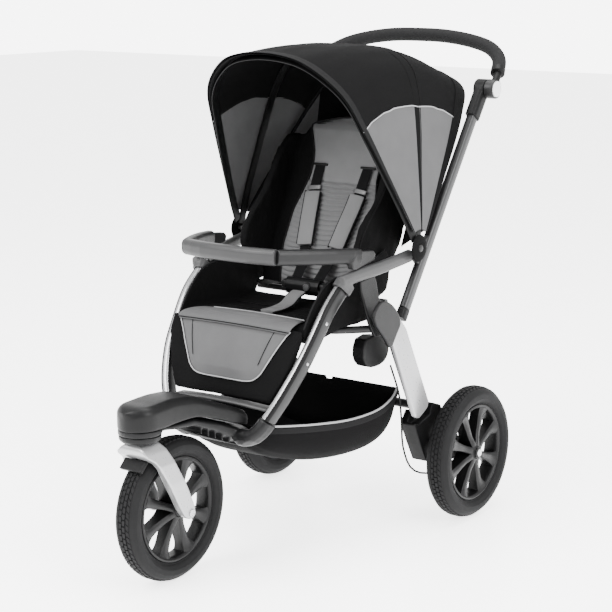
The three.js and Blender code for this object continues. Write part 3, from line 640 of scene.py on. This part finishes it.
def add_wheels():
    done(tyre("tread_front", 0, FRONT_AXLE_Y), "front_wheel", "tyre", "front_tyre")
    done(rim("spoked_rim_front", 0, FRONT_AXLE_Y, 25), "front_wheel", "rim", "front_rim")
    for side, s in SIDES:
        x = s * TRACK_HALF
        body = f"rear_wheel_{side}"
        done(tyre(f"tread_rear_{side}", x, REAR_AXLE_Y), body, "tyre", f"rear_tyre_{side}")
        done(rim(f"spoked_rim_rear_{side}", x, REAR_AXLE_Y, 24), body, "rim", f"rear_rim_{side}")
        cap = turned(f"hub_cap_{side}", sided(HUB_CAP, s), (0, REAR_AXLE_Y, WHEEL_R), "steel", "x", 48,
                     index=[0, 0, 0, 0, 1, 1, 1, 2, 2, 2],
                     materials=["grey_plastic", "black_plastic", "pale_plastic"])
        shaft = rod("shaft", 6, 214 * s, 306 * s, (0, REAR_AXLE_Y, WHEEL_R), "steel", 32)
        done(joined(f"hub_and_axle_{side}", [cap, shaft]), f"suspension_{side}", "steel", f"rear_axle_{side}")


# ---------------------------------------------------------------- fork and front arm
def add_fork():
    mould("fork_casting", "fork", "silver_lacquer", 1.8, 16, "fork", "silver_paint")
    heads = []
    for s in (1, -1):
        head = [(0, 55), (8.4, 55), (8.4, 58.4), (7.4, 59.6), (5.2, 59.8), (4.6, 58.8), (0, 58.6)]
        heads.append(turned("head", sided(head, s), (0, FRONT_AXLE_Y, WHEEL_R), "steel", "x", 40))
    heads.append(rod("pin", 5, -56, 56, (0, FRONT_AXLE_Y, WHEEL_R), "steel", 24))
    done(joined("front_axle_bolt", heads), "fork", "steel", "front_axle")
    mould("fork_splash_guard", "fork_guard", "black_plastic", 1.6, 5, "fork", "black_plastic")


NOSE_ARM = [(-491, 46, 345.2, 395.5), (-460, 46, 345.2, 397), (-430, 46, 347, 397.5), (-400, 48, 348.5, 395),
            (-372, 51.5, 348, 391), (-340, 57, 341, 381), (-312, 64.5, 332, 369), (-262, 86, 314, 348),
            (-247, 89, 312, 341)]


def nose_cover():
    """One smooth shell: a round nose, a flat top with chamfered edges, widening down to the rear."""
    stations = [(y, w, low, high) for y, w, low, high in spline(NOSE_ARM, 40)]
    front = []
    for turn in (88, 80, 70, 60, 50, 40, 30, 20, 10):
        lead, half = NOSE_R * math.sin(math.radians(turn)), NOSE_R * math.cos(math.radians(turn))
        front.append((STEER_Y - lead, max(1.5, half), NOSE_SEAM, 395.5 - 13 * (lead / NOSE_R) ** 4))
    rings = []
    for y, w, low, high in front + stations:
        cut = min(13.0, w * 0.42)
        deep = min(12.0, (high - low) * 0.4)
        half = [(0, high + 0.4), (w * 0.4, high + 0.2), (w - cut - 1.5, high - 0.4), (w - cut, high - 1.0),
                (w - cut * 0.45, high - deep * 0.42), (w - 0.9, high - deep), (w, high - deep - 2),
                (w + 0.3, (high + low) / 2 - 3), (w, low + 4), (w - 0.8, low + 1.2), (w - 3, low),
                (w * 0.4, low)]
        rings.append([vec(x, y, z) for x, z in half] + [vec(-x, y, z) for x, z in half[:0:-1]])
    return subdivided(loft("nose_cover", rings, ["nose_plastic"], sharp=0))


def add_front_arm():
    done(nose_cover(), "frame", "grey_plastic", "front_arm_cover")
    mould("ribbed_base", "front_arm_base", "dark_plastic", 1.9, 4, "frame", "grey_plastic")
    mould("collar_ring", "swivel_collar", "nose_plastic", 1.6, 3, "frame", "grey_plastic")
    mould("footrest_bar", "footrest_plate", "mid_plastic", 1.8, 3, "frame", "light_plastic")


# ---------------------------------------------------------------- tubes and side frames
TUBE_PATH = [(192, -38, 596), (191, -62, 580), (190, -107, 542), (184, -154, 478), (176, -187, 430),
             (156, -221, 370), (134, -241, 325)]
TUBE_LOW, TUBE_HIGH = vec(235, 118, 517), vec(235, 404, 933)
HANDLE = (436.0, 977.0)
EAR = [(150, 622), (172, 652), (205, 668), (232, 668), (222, 640), (196, 612), (168, 606)]


def add_side(side, s):
    section = superellipse(22, 36, 3.2, 28)
    # painted highlight and shade: the inner half of the front face takes the bright tube colour as a painted
    # highlight, and the rest of the front face is black as painted shade
    highlight_and_shade = []
    for i in range(28):
        u, v = (section[i] + section[(i + 1) % 28]) / 2
        highlight_and_shade.append(1 if v > 14.5 and s * u < 4 else (2 if v > 12 else 0))
    path = [(s * px, y, z) for px, y, z in TUBE_PATH]
    bits = [tube(f"bent_tube_{side}", path, section, "tube_dark", 60, index=highlight_and_shade,
                 materials=["tube_dark", "tube_bright", "black_plastic"])]
    for t, size in ((0.33, 4.2), (0.60, 3.6)):
        x, y, z = spline(TUBE_PATH, 101)[int(t * 100)]
        bits.append(disc("rivet", size, s * (x + 9), s * (x + 12.4), y, z, "steel", 0.8, 0.8))
    done(joined(f"front_tube_bent_{side}", bits), "frame", "tube_metal", f"front_tube_{side}")

    mould(f"seat_rail_{side}", f"side_rail_{side}", "mid_plastic", 1.8, 4, "frame", "light_plastic")
    mould(f"side_plate_{side}", f"side_strap_{side}", "dark_plastic", 1.5, 3, "frame", "grey_plastic")
    mould(f"shield_{side}", f"pivot_shield_{side}", "dark_plastic", 1.4, 4, "frame", "grey_plastic")
    mould(f"lock_pod_{side}", f"lock_housing_{side}", "black_plastic", 1.8, 6, "frame", "black_plastic")


LEG_FACE = [(40, 498), (52, 512), (74, 512), (90, 498), (112, 474), (208, 290), (202, 276), (168, 258),
            (152, 264), (52, 464)]
LEG_CORE = [(52, 492), (60, 502), (74, 502), (84, 492), (102, 468), (196, 288), (190, 280), (172, 272),
            (162, 272), (62, 462)]


def add_rear_leg(side, s):
    """A flat lacquered blade outside, on a narrower dark core; the bracket and cable go with it."""
    face = slab(f"leg_{side}", LEG_FACE, s * 234, s * 247, "silver_lacquer", 4.2, segments=4)
    core = slab("core", LEG_CORE, s * 224.2, s * 235, "dark_plastic", 2.0)
    done(joined(f"leg_blade_{side}", [face, core]), "rear_legs", "silver_paint", f"rear_leg_{side}")
    mould(f"bracket_{side}", f"suspension_bracket_{side}", "black_plastic", 1.8, 5,
          f"suspension_{side}", "black_plastic")
    mould(f"cable_{side}", f"brake_cable_{side}", "black_plastic", 0.9, 3, "rear_legs", "black_plastic")


def add_push_frame(side, s):
    section = superellipse(20, 27, 3.2, 28)
    # painted shade: the tube's front face takes the dark tube colour and its rear face black, while its outer
    # and inner faces keep the tube's grey
    index = []
    for i in range(28):
        v = (section[i][1] + section[(i + 1) % 28][1]) / 2
        index.append(1 if v > 10.5 else (2 if v < -10.5 else 0))
    ends = [(TUBE_LOW + (TUBE_HIGH - TUBE_LOW) * share) * (s, 1, 1) for share in (-0.001, 0.97)]
    body = tube(f"pushtube_{side}", ends, section, "tube_grey", 12, index=index,
                materials=["tube_grey", "black_plastic", "tube_dark"])
    ear = slab("ear", EAR, s * 229, s * 241, "grey_plastic", 2.0)
    done(joined(f"push_tube_painted_{side}", [body, ear]), "handle_frame", "tube_metal", f"push_tube_{side}")
    mould(f"tube_foot_{side}", f"end_plug_{side}", "black_plastic", 1.5, 3, "handle_frame", "black_plastic")
    mould(f"handle_yoke_{side}", f"handle_joint_{side}", "black_plastic", 1.6, 5, "handle_frame",
          "grey_plastic")


BOW_HALF = [(262, 442, 987), (257, 464, 1010), (240, 498, 1040), (202, 523, 1063), (150, 533, 1077),
            (75, 536, 1087)]
BOW_PATH = [(-x, y, z) for x, y, z in BOW_HALF] + [(0, 536, 1089)] + BOW_HALF[::-1]


def add_handle():
    def around(name, path, size, sides, material, count):
        return tube(name, path, superellipse(size, size, 2, sides), material, count, hint=(0, -0.68, 0.73))
    tubing = around("bow_tube", BOW_PATH, 18, 20, "black_plastic", 80)
    hubs = []
    for s in (1, -1):
        hub = [(0, 249.4), (20.6, 249.4), (22, 250.8), (22, 269.8), (20.8, 271.8), (19.3, 272), (18.7, 270),
               (18.7, 268.6), (0, 268.6)]
        hubs.append(turned("hub", sided(hub, s), (0, *HANDLE), "grey_plastic", "x", 48))
    done(joined("handle_bow_tube", [tubing, *hubs]), "handle", "tube_metal", "handle_bow")
    fine = spline(BOW_PATH[1:-1], 120)
    grip = around("grip", fine[1:-1], 32, 28, "foam", 120)
    rings = [around("ring", part, 33, 28, "black_plastic", 5) for part in (fine[0:4], fine[-4:])]
    done(joined("foam_grip", [grip, *rings]), "handle", "foam", "handle_grip")
    for side, s in SIDES:
        done(disc(f"hub_disc_{side}", 18.0, s * 268.8, s * 274.4, *HANDLE, "pale_plastic", 1.4, 1.0),
             f"hub_button_{side}", "light_plastic", f"hub_button_{side}")


def add_arm_bar():
    mould("arm_bar_moulding", "arm_bar_front", "arm_plastic", 1.5, 5, "arm_bar", "light_plastic")
    for side, s in SIDES:
        mould(f"arm_{side}", f"arm_bar_{side}", "grey_plastic", 1.5, 5, "arm_bar", "grey_plastic")


def add_frame_tubes():
    mould("under_seat_tube", "seat_cross_tube", "tube_dark", 1.8, 3, "frame", "tube_metal")
    done(rod("rear_axle_tube", 10, -223.7, 223.7, (0, 180, 284), "tube_dark", 40), "rear_legs", "tube_metal",
         "rear_cross_tube")
    done(rod("recline_tube", 7, -178, 178, (0, 132, 522), "tube_dark", 32), "seat_hinge", "tube_metal",
         "seat_hinge_tube")


# ---------------------------------------------------------------- canopy
# the axis of the canopy's pivots, [y, z], and the three arches by angle from the rear and by reach
CANOPY = (150.0, 648.0)
FRONT_ANGLE, MIDDLE_ANGLE, REAR_ANGLE = 119.5, 78.8, 50.0
FRONT_REACH, MIDDLE_REACH, REAR_REACH = 486.0, 437.0, 467.0
ARCH_FRONT = [(249, 0.012), (241, 0.186), (223, 0.392), (203, 0.604), (182, 0.781), (147, 0.882), (94, 0.965),
              (34, 0.996)]
ARCH_REAR = [(249, 0.013), (243, 0.193), (229, 0.408), (214, 0.629), (200, 0.773), (178, 0.912), (130, 0.983),
             (50, 1.0)]
PIVOT = [(0, 241.4), (5, 241.4), (5, 250.2), (27, 249.6), (30, 250.6), (28, 252.4), (18, 254.4), (8, 254.8),
         (7.4, 256.6), (4, 257.4), (0, 257.5)]
SIDE_COLUMNS, TOP_COLUMNS = 14, 44
COLUMNS = SIDE_COLUMNS * 2 + TOP_COLUMNS


def arch_line(angle, reach, out, low):
    """Half width and reach along one arch, from one foot over the top to the other."""
    share = min(1.0, max(0.0, (FRONT_ANGLE - angle) / (FRONT_ANGLE - REAR_ANGLE)))
    half = []
    for (x0, s0), (x1, s1) in zip(ARCH_FRONT, ARCH_REAR):
        half.append((x0 + (x1 - x0) * share + out,
                     max((s0 + (s1 - s0) * share) * reach, low) + (out if s0 > 0.6 else 0), 0))
    return spline(half + [(-x, s, z) for x, s, z in reversed(half)], 400)[:, :2]


def arch_row(angle, reach, out=0.0, low=40, edge=None):
    """Points of an arch that stands at an angle from +Y; edge is the reach of the side panel's top."""
    line = arch_line(angle, reach, out, low)
    t = math.radians(angle)
    if edge is None:
        want = np.linspace(0, 399, COLUMNS + 1)
    else:
        first = int(np.argmax(line[:, 1] >= edge))
        last = 399 - first
        want = np.concatenate([np.linspace(0, first, SIDE_COLUMNS + 1)[:-1],
                               np.linspace(first, last, TOP_COLUMNS + 1),
                               np.linspace(last, 399, SIDE_COLUMNS + 1)[1:]])
    x = np.interp(want, np.arange(400), line[:, 0])
    s = np.interp(want, np.arange(400), line[:, 1])
    return np.stack([x, CANOPY[0] + s * math.cos(t), CANOPY[1] + s * math.sin(t)], axis=1)


def edge_reach(angle):
    return float(np.interp(angle, [REAR_ANGLE, MIDDLE_ANGLE, FRONT_ANGLE], [338, 306, 301]))


def reach_at(angle):
    """Reach of cloth pulled nearly straight between two arches, with a little fullness."""
    if angle >= MIDDLE_ANGLE:
        (a0, r0), (a1, r1) = (FRONT_ANGLE, FRONT_REACH), (MIDDLE_ANGLE, MIDDLE_REACH)
    else:
        (a0, r0), (a1, r1) = (MIDDLE_ANGLE, MIDDLE_REACH), (REAR_ANGLE, REAR_REACH)
    sines = [math.sin(math.radians(d)) for d in (a1 - a0, a1 - angle, angle - a0)]
    straight = sines[0] / (sines[1] / r0 + sines[2] / r1)
    return straight + 7 * math.sin(math.pi * min(1.0, max(0.0, (angle - a0) / (a1 - a0))))


def pucker(rows, angles, low, high):
    """Small pulls in the cloth beside the two arches that it is stretched over."""
    rng = np.random.default_rng(7)
    phase = rng.uniform(0, 6.28, 6)
    for row, angle in zip(rows, angles):
        near = min(angle - low, high - angle) / (high - low)
        depth = 1.5 * math.sin(math.pi * min(1.0, near * 2))
        t = np.linspace(0, 1, len(row))
        wave = sum(np.sin(2 * math.pi * f * t + start + angle * 0.05)
                   for f, start in zip((5, 9, 16, 23), phase))
        row[:, 1] += wave * depth * 0.35
        row[:, 2] += wave * depth * 0.5
    return rows


def cloth_row(angle, out):
    return arch_row(angle, reach_at(angle), out, 40, edge_reach(angle))


def gore(name, angles):
    rows = [cloth_row(a, 1.6) for a in angles]
    pucker(rows, angles, angles[-1], angles[0])

    def material(k, i):
        return 1 if i < SIDE_COLUMNS or i >= SIDE_COLUMNS + TOP_COLUMNS else 0
    return sheet_object(name, rows, 1.6, ["black_cloth", "grey_cloth"], material)


def band(name, angles, out, material, thickness):
    return sheet_object(name, [cloth_row(a, out) for a in angles], thickness, [material])


def panel_piping(angles):
    """Two cords along the top edges of the side panels."""
    return [piping("panel_cord", [cloth_row(a, 2.8)[column] for a in angles], 1.5, "piping", 40)
            for column in (SIDE_COLUMNS, SIDE_COLUMNS + TOP_COLUMNS)]


def seam(name, angle):
    return piping(name, cloth_row(angle, 3.0), 0.9, "webbing", 160)


def bow(name, angle, reach, low):
    """A flat spring-steel bow in a cloth sleeve, from one canopy pivot to the other."""
    normal = (0, -math.sin(math.radians(angle)), math.cos(math.radians(angle)))
    return tube(name, arch_row(angle, reach, -3.5, low), superellipse(24, 4.0, 3.0, 16), "black_plastic", 140,
                hint=normal)


# the back panel's lower edge, from the left foot to the middle
BACK_FOOT = [(168, 208, 636), (167, 244, 716), (166, 276, 790), (160, 300, 834), (130, 320, 868),
             (72, 328, 884), (20, 329, 888)]


def add_back_panel():
    """Closes the canopy from its rear arch down to the back of the seat; grey at the sides, net between."""
    top = arch_row(REAR_ANGLE + 1.8, reach_at(REAR_ANGLE + 1.8), -3.2, 44)
    foot = spline(BACK_FOOT + [(-x, y, z) for x, y, z in reversed(BACK_FOOT)], COLUMNS + 1)
    rows = []
    for share in np.linspace(0, 1, 12):
        row = top * (1 - share) + foot * share
        row[:, 2] -= 7 * math.sin(math.pi * share) * np.sin(np.linspace(0, math.pi, COLUMNS + 1)) ** 0.6
        rows.append(row)

    def material(k, i):
        return 1 if 8 <= i < 22 or COLUMNS - 22 <= i < COLUMNS - 8 else 0
    net = sheet_object("canopy_net_panel", rows, 1.4, ["net_cloth", "grey_cloth"], material)
    hems = joined("canopy_net_hems", [piping("hem", rows[0], 2.2, "binding", 120),
                                      piping("hem", rows[-1], 2.0, "binding", 120)])
    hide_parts("canopy_back_panel")
    for piece in (net, hems):
        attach(piece, "handle_frame")
        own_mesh(piece)


def stretched_gore(sheet, trim, nodes):
    """A gore and its trim stand for the CAD node, with their placing baked into their meshes."""
    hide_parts(nodes)
    for piece in (sheet, trim):
        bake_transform(piece)


def add_canopy():
    front = np.linspace(FRONT_ANGLE, MIDDLE_ANGLE + 0.15, 13)
    rear = np.linspace(MIDDLE_ANGLE - 0.15, REAR_ANGLE, 9)
    sheet = gore("canopy_front_sheet", front)
    trim = joined("canopy_front_trim", [
        band("front_binding", [119.9, 119.3, 118.3, 117.2], 3.4, "binding", 1.4),
        band("front_lining", [119.8, 118.6, 116.4], -0.6, "binding", 1.2),
        seam("binding_seam", 117.1),
        band("middle_tape", [81.6, 80.3, 78.9, 77.6], 2.4, "black_cloth", 1.0), *panel_piping(front)])
    stretched_gore(sheet, trim, "canopy_front_fabric")

    sheet = gore("canopy_rear_sheet", rear)
    trim = joined("canopy_rear_trim", [
        band("rear_binding", [53.4, 51.5, 49.5, 47.4], 3.0, "black_cloth", 1.4),
        band("rear_lining", [53.0, 51.5, 50.0], -0.6, "black_cloth", 1.2),
        seam("middle_seam", MIDDLE_ANGLE - 1.6), *panel_piping(rear)])
    stretched_gore(sheet, trim, "canopy_rear_fabric")

    done(bow("front_bow_strip", 118, 475, 22), "canopy_front", "black_plastic", "canopy_front_bow")
    parts = [bow("middle", MIDDLE_ANGLE - 0.1, MIDDLE_REACH - 1, 10)]
    for s in (1, -1):
        parts.append(turned("pivot", sided(PIVOT, s), (0, *CANOPY), "steel", "x", 48,
                            index=[1, 1, 0, 0, 0, 0, 0, 1, 1, 1], materials=["black_cloth", "grey_plastic"]))
    done(joined("middle_bow_strip", parts), "canopy_mid", "black_plastic", "canopy_middle_bow")
    add_back_panel()


# ---------------------------------------------------------------- seat
BACK_LINE = [(526, 112), (630, 152), (715, 194), (800, 234), (880, 270), (902, 288)]
INSERT_HALF = [(538, 100), (560, 106), (620, 116), (700, 114), (740, 102), (775, 93), (800, 92), (830, 98),
               (860, 112), (880, 122), (889, 124)]
RUCHED_TOP, PAD_LOW, PAD_HIGH = 768, 538, 889
BUTTON_X = 16.0


def between(value, table):
    """Straight-line reading of a table of [value, result] pairs."""
    return float(np.interp(value, [a for a, b in table], [b for a, b in table]))


def back_y(z):
    return between(z, BACK_LINE)


def insert_half(z):
    return between(z, INSERT_HALF)


def soft_body(name, node, voxel, rounds, wrinkle, grain):
    """A sewn, padded body from a CAD solid: rounded, then creased a little."""
    piece = subdivided(moulded(name, node, "black_cloth", voxel, rounds))
    co = np.array([v.co for v in piece.data.vertices]) * 1000
    normals = np.array([v.normal for v in piece.data.vertices])
    co += normals * (crease(co, grain) * wrinkle)[:, None]
    piece.data.vertices.foreach_set("co", (co / 1000).astype(np.float32).ravel())
    piece.data.update()
    piece.data.shade_smooth()
    return piece


def crease(co, size):
    """Smooth folds of a few millimetres, from a sum of slanting waves."""
    rng = np.random.default_rng(3)
    total = np.zeros(len(co))
    for k in range(9):
        way = unit(rng.normal(size=3))
        period = size * rng.uniform(1.2, 4.5)
        total += np.sin(co @ way * 2 * math.pi / period + rng.uniform(0, 6.28)) * (period / size) / 3.5
    return np.clip(total / 3.0, -1.6, 1.0)


def insert_pad():
    """The grey pad on the seat back: smooth above, gathered in level ridges below."""
    zs = np.concatenate([np.linspace(PAD_LOW, RUCHED_TOP, 160), np.linspace(RUCHED_TOP, PAD_HIGH, 46)[1:]])
    t = np.linspace(-1, 1, 49)
    rows = []
    rng = np.random.default_rng(11)
    sway = rng.uniform(0, 6.28, 5)
    for z in zs:
        half = insert_half(z)
        x = -half * t
        puff = 9.0 * (1 - np.abs(t) ** 4) ** 0.7
        fade_ends = min(1.0, (z - PAD_LOW) / 14, (PAD_HIGH - z) / 12)
        puff *= max(0.0, fade_ends) ** 0.5
        if z < RUCHED_TOP:
            wander = sum(np.sin(t * (2 + k) * 1.7 + sway[k]) for k in range(5)) * 1.1
            ridge = np.abs(np.sin(math.pi * (z + wander) / 10.5)) ** 0.7
            puff = puff * (0.62 + 0.38 * ridge) + 1.2 * ridge * (np.abs(t) < 0.97)
        dent = 2.2 * np.exp(-((z - RUCHED_TOP) / 3.0) ** 2)
        arc = 20 * (1 - t ** 2) * max(0.0, (z - 830) / 59)
        y = np.array([back_y(v) for v in z + arc]) - 3.2 - puff + dent
        rows.append(np.stack([x, y, z + arc], axis=1))
    # the pad's smooth upper part takes the lightened seat grey: painted light
    pad = sheet_object("seat_back_insert", rows, 5.0, ["seat_grey", "grey_ruched"],
                       lambda k, i: int(zs[k] < RUCHED_TOP), 0, outward=-1.0)
    edge = [(r[0][0], back_y(z) - 5.5, z) for r, z in zip(rows, zs)][::6]
    top = []
    for f in (-0.95, -0.7, -0.35, 0, 0.35, 0.7, 0.95):
        arc = 20 * (1 - f * f)
        top.append((f * insert_half(PAD_HIGH), back_y(PAD_HIGH + arc) - 5.5, PAD_HIGH + 1 + arc))
    ring = edge + top + [(-x, y, z) for x, y, z in edge[::-1]]
    return pad, piping("insert_cord", ring, 1.7, "binding", 240)


def add_seat_back():
    shell = soft_body("seat_shell", "seat_back", 4.2, 7, 1.5, 18)
    pad, cord = insert_pad()
    bits = [shell, cord]
    for s in (1, -1):
        wing = [(s * 163, 66, 609), (s * 163.5, 47, 634), (s * 163.5, 53, 662), (s * 163.5, 78, 700),
                (s * 163.5, 131, 751), (s * 163, 192, 841)]
        bits.append(piping("wing_seam", wing, 1.6, "webbing", 80))
        slot_line = [(s * 46, back_y(803) - 13.5, 803), (s * 86, back_y(803) - 13.5, 803)]
        bits.append(tube("slot", slot_line, superellipse(5.5, 3.2, 2.5, 12), "black_plastic", 8,
                         hint=(0, 0.4, 0.9)))
    shell = done(joined("seat_back_shell", bits), "seat_back", "black_fabric", "seat_back")
    done(pad, "seat_back", "grey_fabric")


def strap(name, line, width, thickness, material, count):
    return tube(name, line, superellipse(width, thickness, 3.5, 16), material, count)


def on_back(s, *spots):
    """Points in front of the seat back, each from [half width, height, distance in front]."""
    return [(s * x, back_y(z) - out, z) for x, z, out in spots]


def add_harness():
    bits, pads = [], []
    for s in (1, -1):
        line = on_back(s, (66, 803, 13), (64, 770, 16), (61, 730, 17), (52, 680, 19), (43, 628, 20))
        line += [(s * 34, 106, 590), (s * 30, 78, 560)]
        bits.append(strap("web", line, 27, 1.8, "webbing", 70))
        pad = on_back(s, (62, 744, 20.5), (58.5, 718, 21.5), (52, 680, 23.5), (43.5, 630, 24.5))
        pads.append(strap("pad", pad, 41, 9.5, "seat_grey", 30))
        border = spline(pad, 20)
        for way in (1, -1):
            side = [p + vec(way * 20.6, 0, 0) for p in border]
            pads.append(piping("pad_edge", side, 2.6, "webbing", 40))
        keeper = on_back(s, (64, 757, 18.5), (62.8, 748, 18.5))
        bits.append(strap("keeper", keeper, 36, 5.5, "light_plastic", 6))
    done(joined("shoulder_pads", pads), "seat_back", "grey_fabric")
    harness = joined("shoulder_straps", bits)
    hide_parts("shoulder_harness")
    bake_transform(harness)

    buckle = moulded("buckle", "harness_buckle", "black_plastic", 1.3, 3)
    tongue = [(60, 541), (60, 557), (74, 560), (76, 543)]
    belt = [(56, 70, 550), (90, 78, 548), (132, 92, 540), (150, 100, 532)]
    tongues = [slab("tongue", tongue, s * 46.5, s * 58, "grey_plastic") for s in (1, -1)]
    waist = [strap("waist", [(s * x, y, z) for x, y, z in belt], 25, 1.8, "webbing", 30) for s in (1, -1)]
    done(joined("harness_buckle_shell", [buckle, *tongues, *waist]), "frame", "black_plastic",
         "harness_buckle")
    button = turned("release_button", [(0, 64), (8.4, 64), (8.4, 51.4), (7.6, 50.4), (5, 49.9), (0, 49.8)],
                    (BUTTON_X, 0, 549), "mid_plastic", "y", 40)
    done(button, "buckle_button", "grey_plastic", "buckle_button")
    line = [(0, -70, 513), (0, -30, 513), (0, 4, 518), (0, 26, 530), (0, 48, 538)]
    crotch = strap("crotch", line, 38, 9, "seat_grey", 20)
    edges = [piping("edge", [(s * 19, y - 3, z) for x, y, z in line], 2.0, "webbing", 20) for s in (1, -1)]
    done(joined("crotch_pad", [crotch, *edges]), "frame", "grey_fabric", "crotch_strap")


def add_seat_base():
    base = soft_body("seat_cushion", "seat_base", 3.2, 3, 0.9, 20)
    bits = [base]
    for s in (1, -1):
        top = [(s * 168, -163, 510), (s * 168, -134, 551), (s * 168, -92, 589), (s * 168, -56, 601),
               (s * 168, 20, 605), (s * 168, 90, 621), (s * 168, 140, 639)]
        bits.append(piping("wall_edge", top, 2.0, "binding", 60))
    for y in (-92, -44, 4):
        z = np.interp(y, [-140, -40, 40], [512.5, 508.0, 508.0])
        bits.append(piping("quilt", [(-150, y, z), (0, y, z - 0.6), (150, y, z)], 1.5, "webbing", 40))
    done(joined("seat_base_cushion", bits), "frame", "black_fabric", "seat_base")


# ---------------------------------------------------------------- leg rest
LEG_LINE = [(361, -231), (396, -222), (458, -202), (498, -186), (510, -175)]
BOWL_HALF = [(0, 40), (0.004, 54), (0.012, 64), (0.026, 72), (0.045, 78), (0.07, 83), (0.12, 90), (0.18, 96),
             (0.28, 102), (0.5, 115), (0.75, 130), (1.0, 147)]
BOWL_LOW, BOWL_TALL = 396, 110
# half width, y and z of the padded lip, from the leg rest's front over its top edge
LIP = [(148, -191, 500), (151, -193, 506), (152, -189, 513), (150, -176, 518), (146, -156, 520),
       (140, -134, 519), (132, -114, 516.5), (124, -100, 513)]


def leg_y(z):
    return between(z, LEG_LINE)


def bowl_half(share):
    """Half width of the grey panel, by its height above its lowest point as a share."""
    return between(share, BOWL_HALF)


def add_leg_rest():
    body = soft_body("leg_body", "leg_rest", 3.6, 5, 1.0, 18)
    shares = np.concatenate([[0.0, 0.004, 0.012, 0.026, 0.045], np.linspace(0.07, 1, 40)])
    t = np.linspace(-1, 1, 45)
    rows = []
    for share in shares:
        z = BOWL_LOW + BOWL_TALL * share
        puff = 7.0 * (1 - np.abs(t) ** 3) * min(1.0, share * 5, (1 - share) * 8 + 0.25)
        pleat = 1.6 * (np.exp(-((np.abs(t) - 0.74) / 0.03) ** 2)) * min(1.0, 1.4 * share)
        y = leg_y(z) - 3.2 - puff + pleat
        rows.append(np.stack([bowl_half(share) * t, y, np.full(45, z)], axis=1))
    panel = sheet_object("bowl", rows, 4.0, ["grey_cloth"])
    left = [tuple(row[0] + vec(-1, -1.0, 0)) for row in rows[::-1]]
    right = [tuple(row[-1] + vec(1, -1.0, 0)) for row in rows]
    foot = [tuple(p + vec(0, -1, 0)) for p in rows[0][1:-1]]
    cords = [piping("bowl_cord", left + foot + right, 1.4, "piping", 240)]
    for way in (-1, 1):
        line = []
        for share in (0.34, 0.5, 0.75, 0.98):
            z = BOWL_LOW + BOWL_TALL * share
            line.append((way * (76 + 36 * share), leg_y(z) - 8, z))
        cords.append(piping("dart", line, 0.8, "webbing", 40))
    lip_rows = [np.stack([half * t, np.full(45, float(y)), z + 2.5 * (1 - t ** 2)], axis=1)
                for half, y, z in LIP]
    lip = sheet_object("lip", lip_rows, 4.0, ["grey_cloth"])
    fold = piping("lip_fold", [tuple(p + vec(0, -0.8, 0)) for p in lip_rows[1][::4]], 1.1, "webbing", 60)
    back_cord = piping("lip_cord", [tuple(p) for p in lip_rows[-1][::4]], 1.8, "piping", 60)
    done(joined("leg_rest_body", [body, *cords, fold]), "frame", "black_fabric", "leg_rest")
    done(joined("leg_rest_bowl", [panel, lip, back_cord]), "frame", "grey_fabric")


# ---------------------------------------------------------------- basket
BASKET = [(-226, 96, 303, 262), (-190, 126, 300, 234), (-100, 158, 290, 202), (0, 180, 283, 184),
          (100, 188, 288, 178), (150, 188, 306, 184), (166, 187, 322, 194)]


def basket_row(y, half, top, low, sag):
    """One cross-section of the bag, from rim to rim under the middle, a little deeper where it sags."""
    t = np.linspace(0, math.pi, 45)
    rounded = np.sign(np.cos(t)) * np.abs(np.cos(t)) ** 0.45
    drop = np.sin(t) ** 0.5
    x = half * rounded * (1 - 0.12 * drop)
    z = top - (top - low) * drop
    z -= sag * np.sin(t) ** 3
    return np.stack([x, np.full(45, float(y)), z], axis=1)


def add_basket():
    rows = []
    for y, half, top, low in spline(BASKET, 48):
        sag = 4.0 * math.sin(math.pi * np.clip((y + 226) / 392, 0, 1))
        row = basket_row(y, half, top, low, sag)
        t = np.linspace(0, 1, 45)
        ripple = 2.0 * np.sin(2 * math.pi * 6 * t + y * 0.02) * np.sin(math.pi * t) ** 0.5
        row[:, 2] += ripple * 0.6
        row[:, 0] += ripple * 0.5 * np.sign(row[:, 0])
        rows.append(row)
    bag = sheet_object("basket_bag", rows, 2.2, ["black_cloth"], outward=-1.0)
    bits = []
    for k in (0, -1):
        half_rim = [row[k] + vec(0, 0, 0.6) for row in rows]
        bits.append(piping("rim_cord", half_rim, 2.4, "piping", 120))
        bits.append(tube("rim_tape", [p + vec(0, 0, -9) for p in half_rim], superellipse(2.6, 16, 3, 12),
                         "binding", 80))
    for row in (rows[0], rows[-1]):
        top = float(row[:, 2].max())
        ring = [row]
        for share in (0.75, 0.5, 0.25, 0.05):
            low = row.copy()
            low[:, 0] *= share
            low[:, 2] = top - (top - row[:, 2]) * share
            ring.append(low)
        bits.append(sheet_object("end_wall", ring, 2.0, ["black_mesh"], None, 0))
        bits.append(piping("end_cord", row, 2.0, "binding", 120))
    trim = joined("basket_ends_and_rim", bits)
    done(bag, "frame", "black_fabric", "basket")
    done(trim, "frame", "black_fabric")
    for piece in (bag, trim):
        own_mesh(piece)


# ---------------------------------------------------------------- the whole stroller
add_camera()
make_materials()
add_studio()
add_wheels()
add_fork()
add_front_arm()
add_handle()
add_arm_bar()
add_frame_tubes()
for side, s in SIDES:
    add_side(side, s)
    add_rear_leg(side, s)
    add_push_frame(side, s)
add_canopy()
add_seat_back()
add_harness()
add_seat_base()
add_leg_rest()
add_basket()
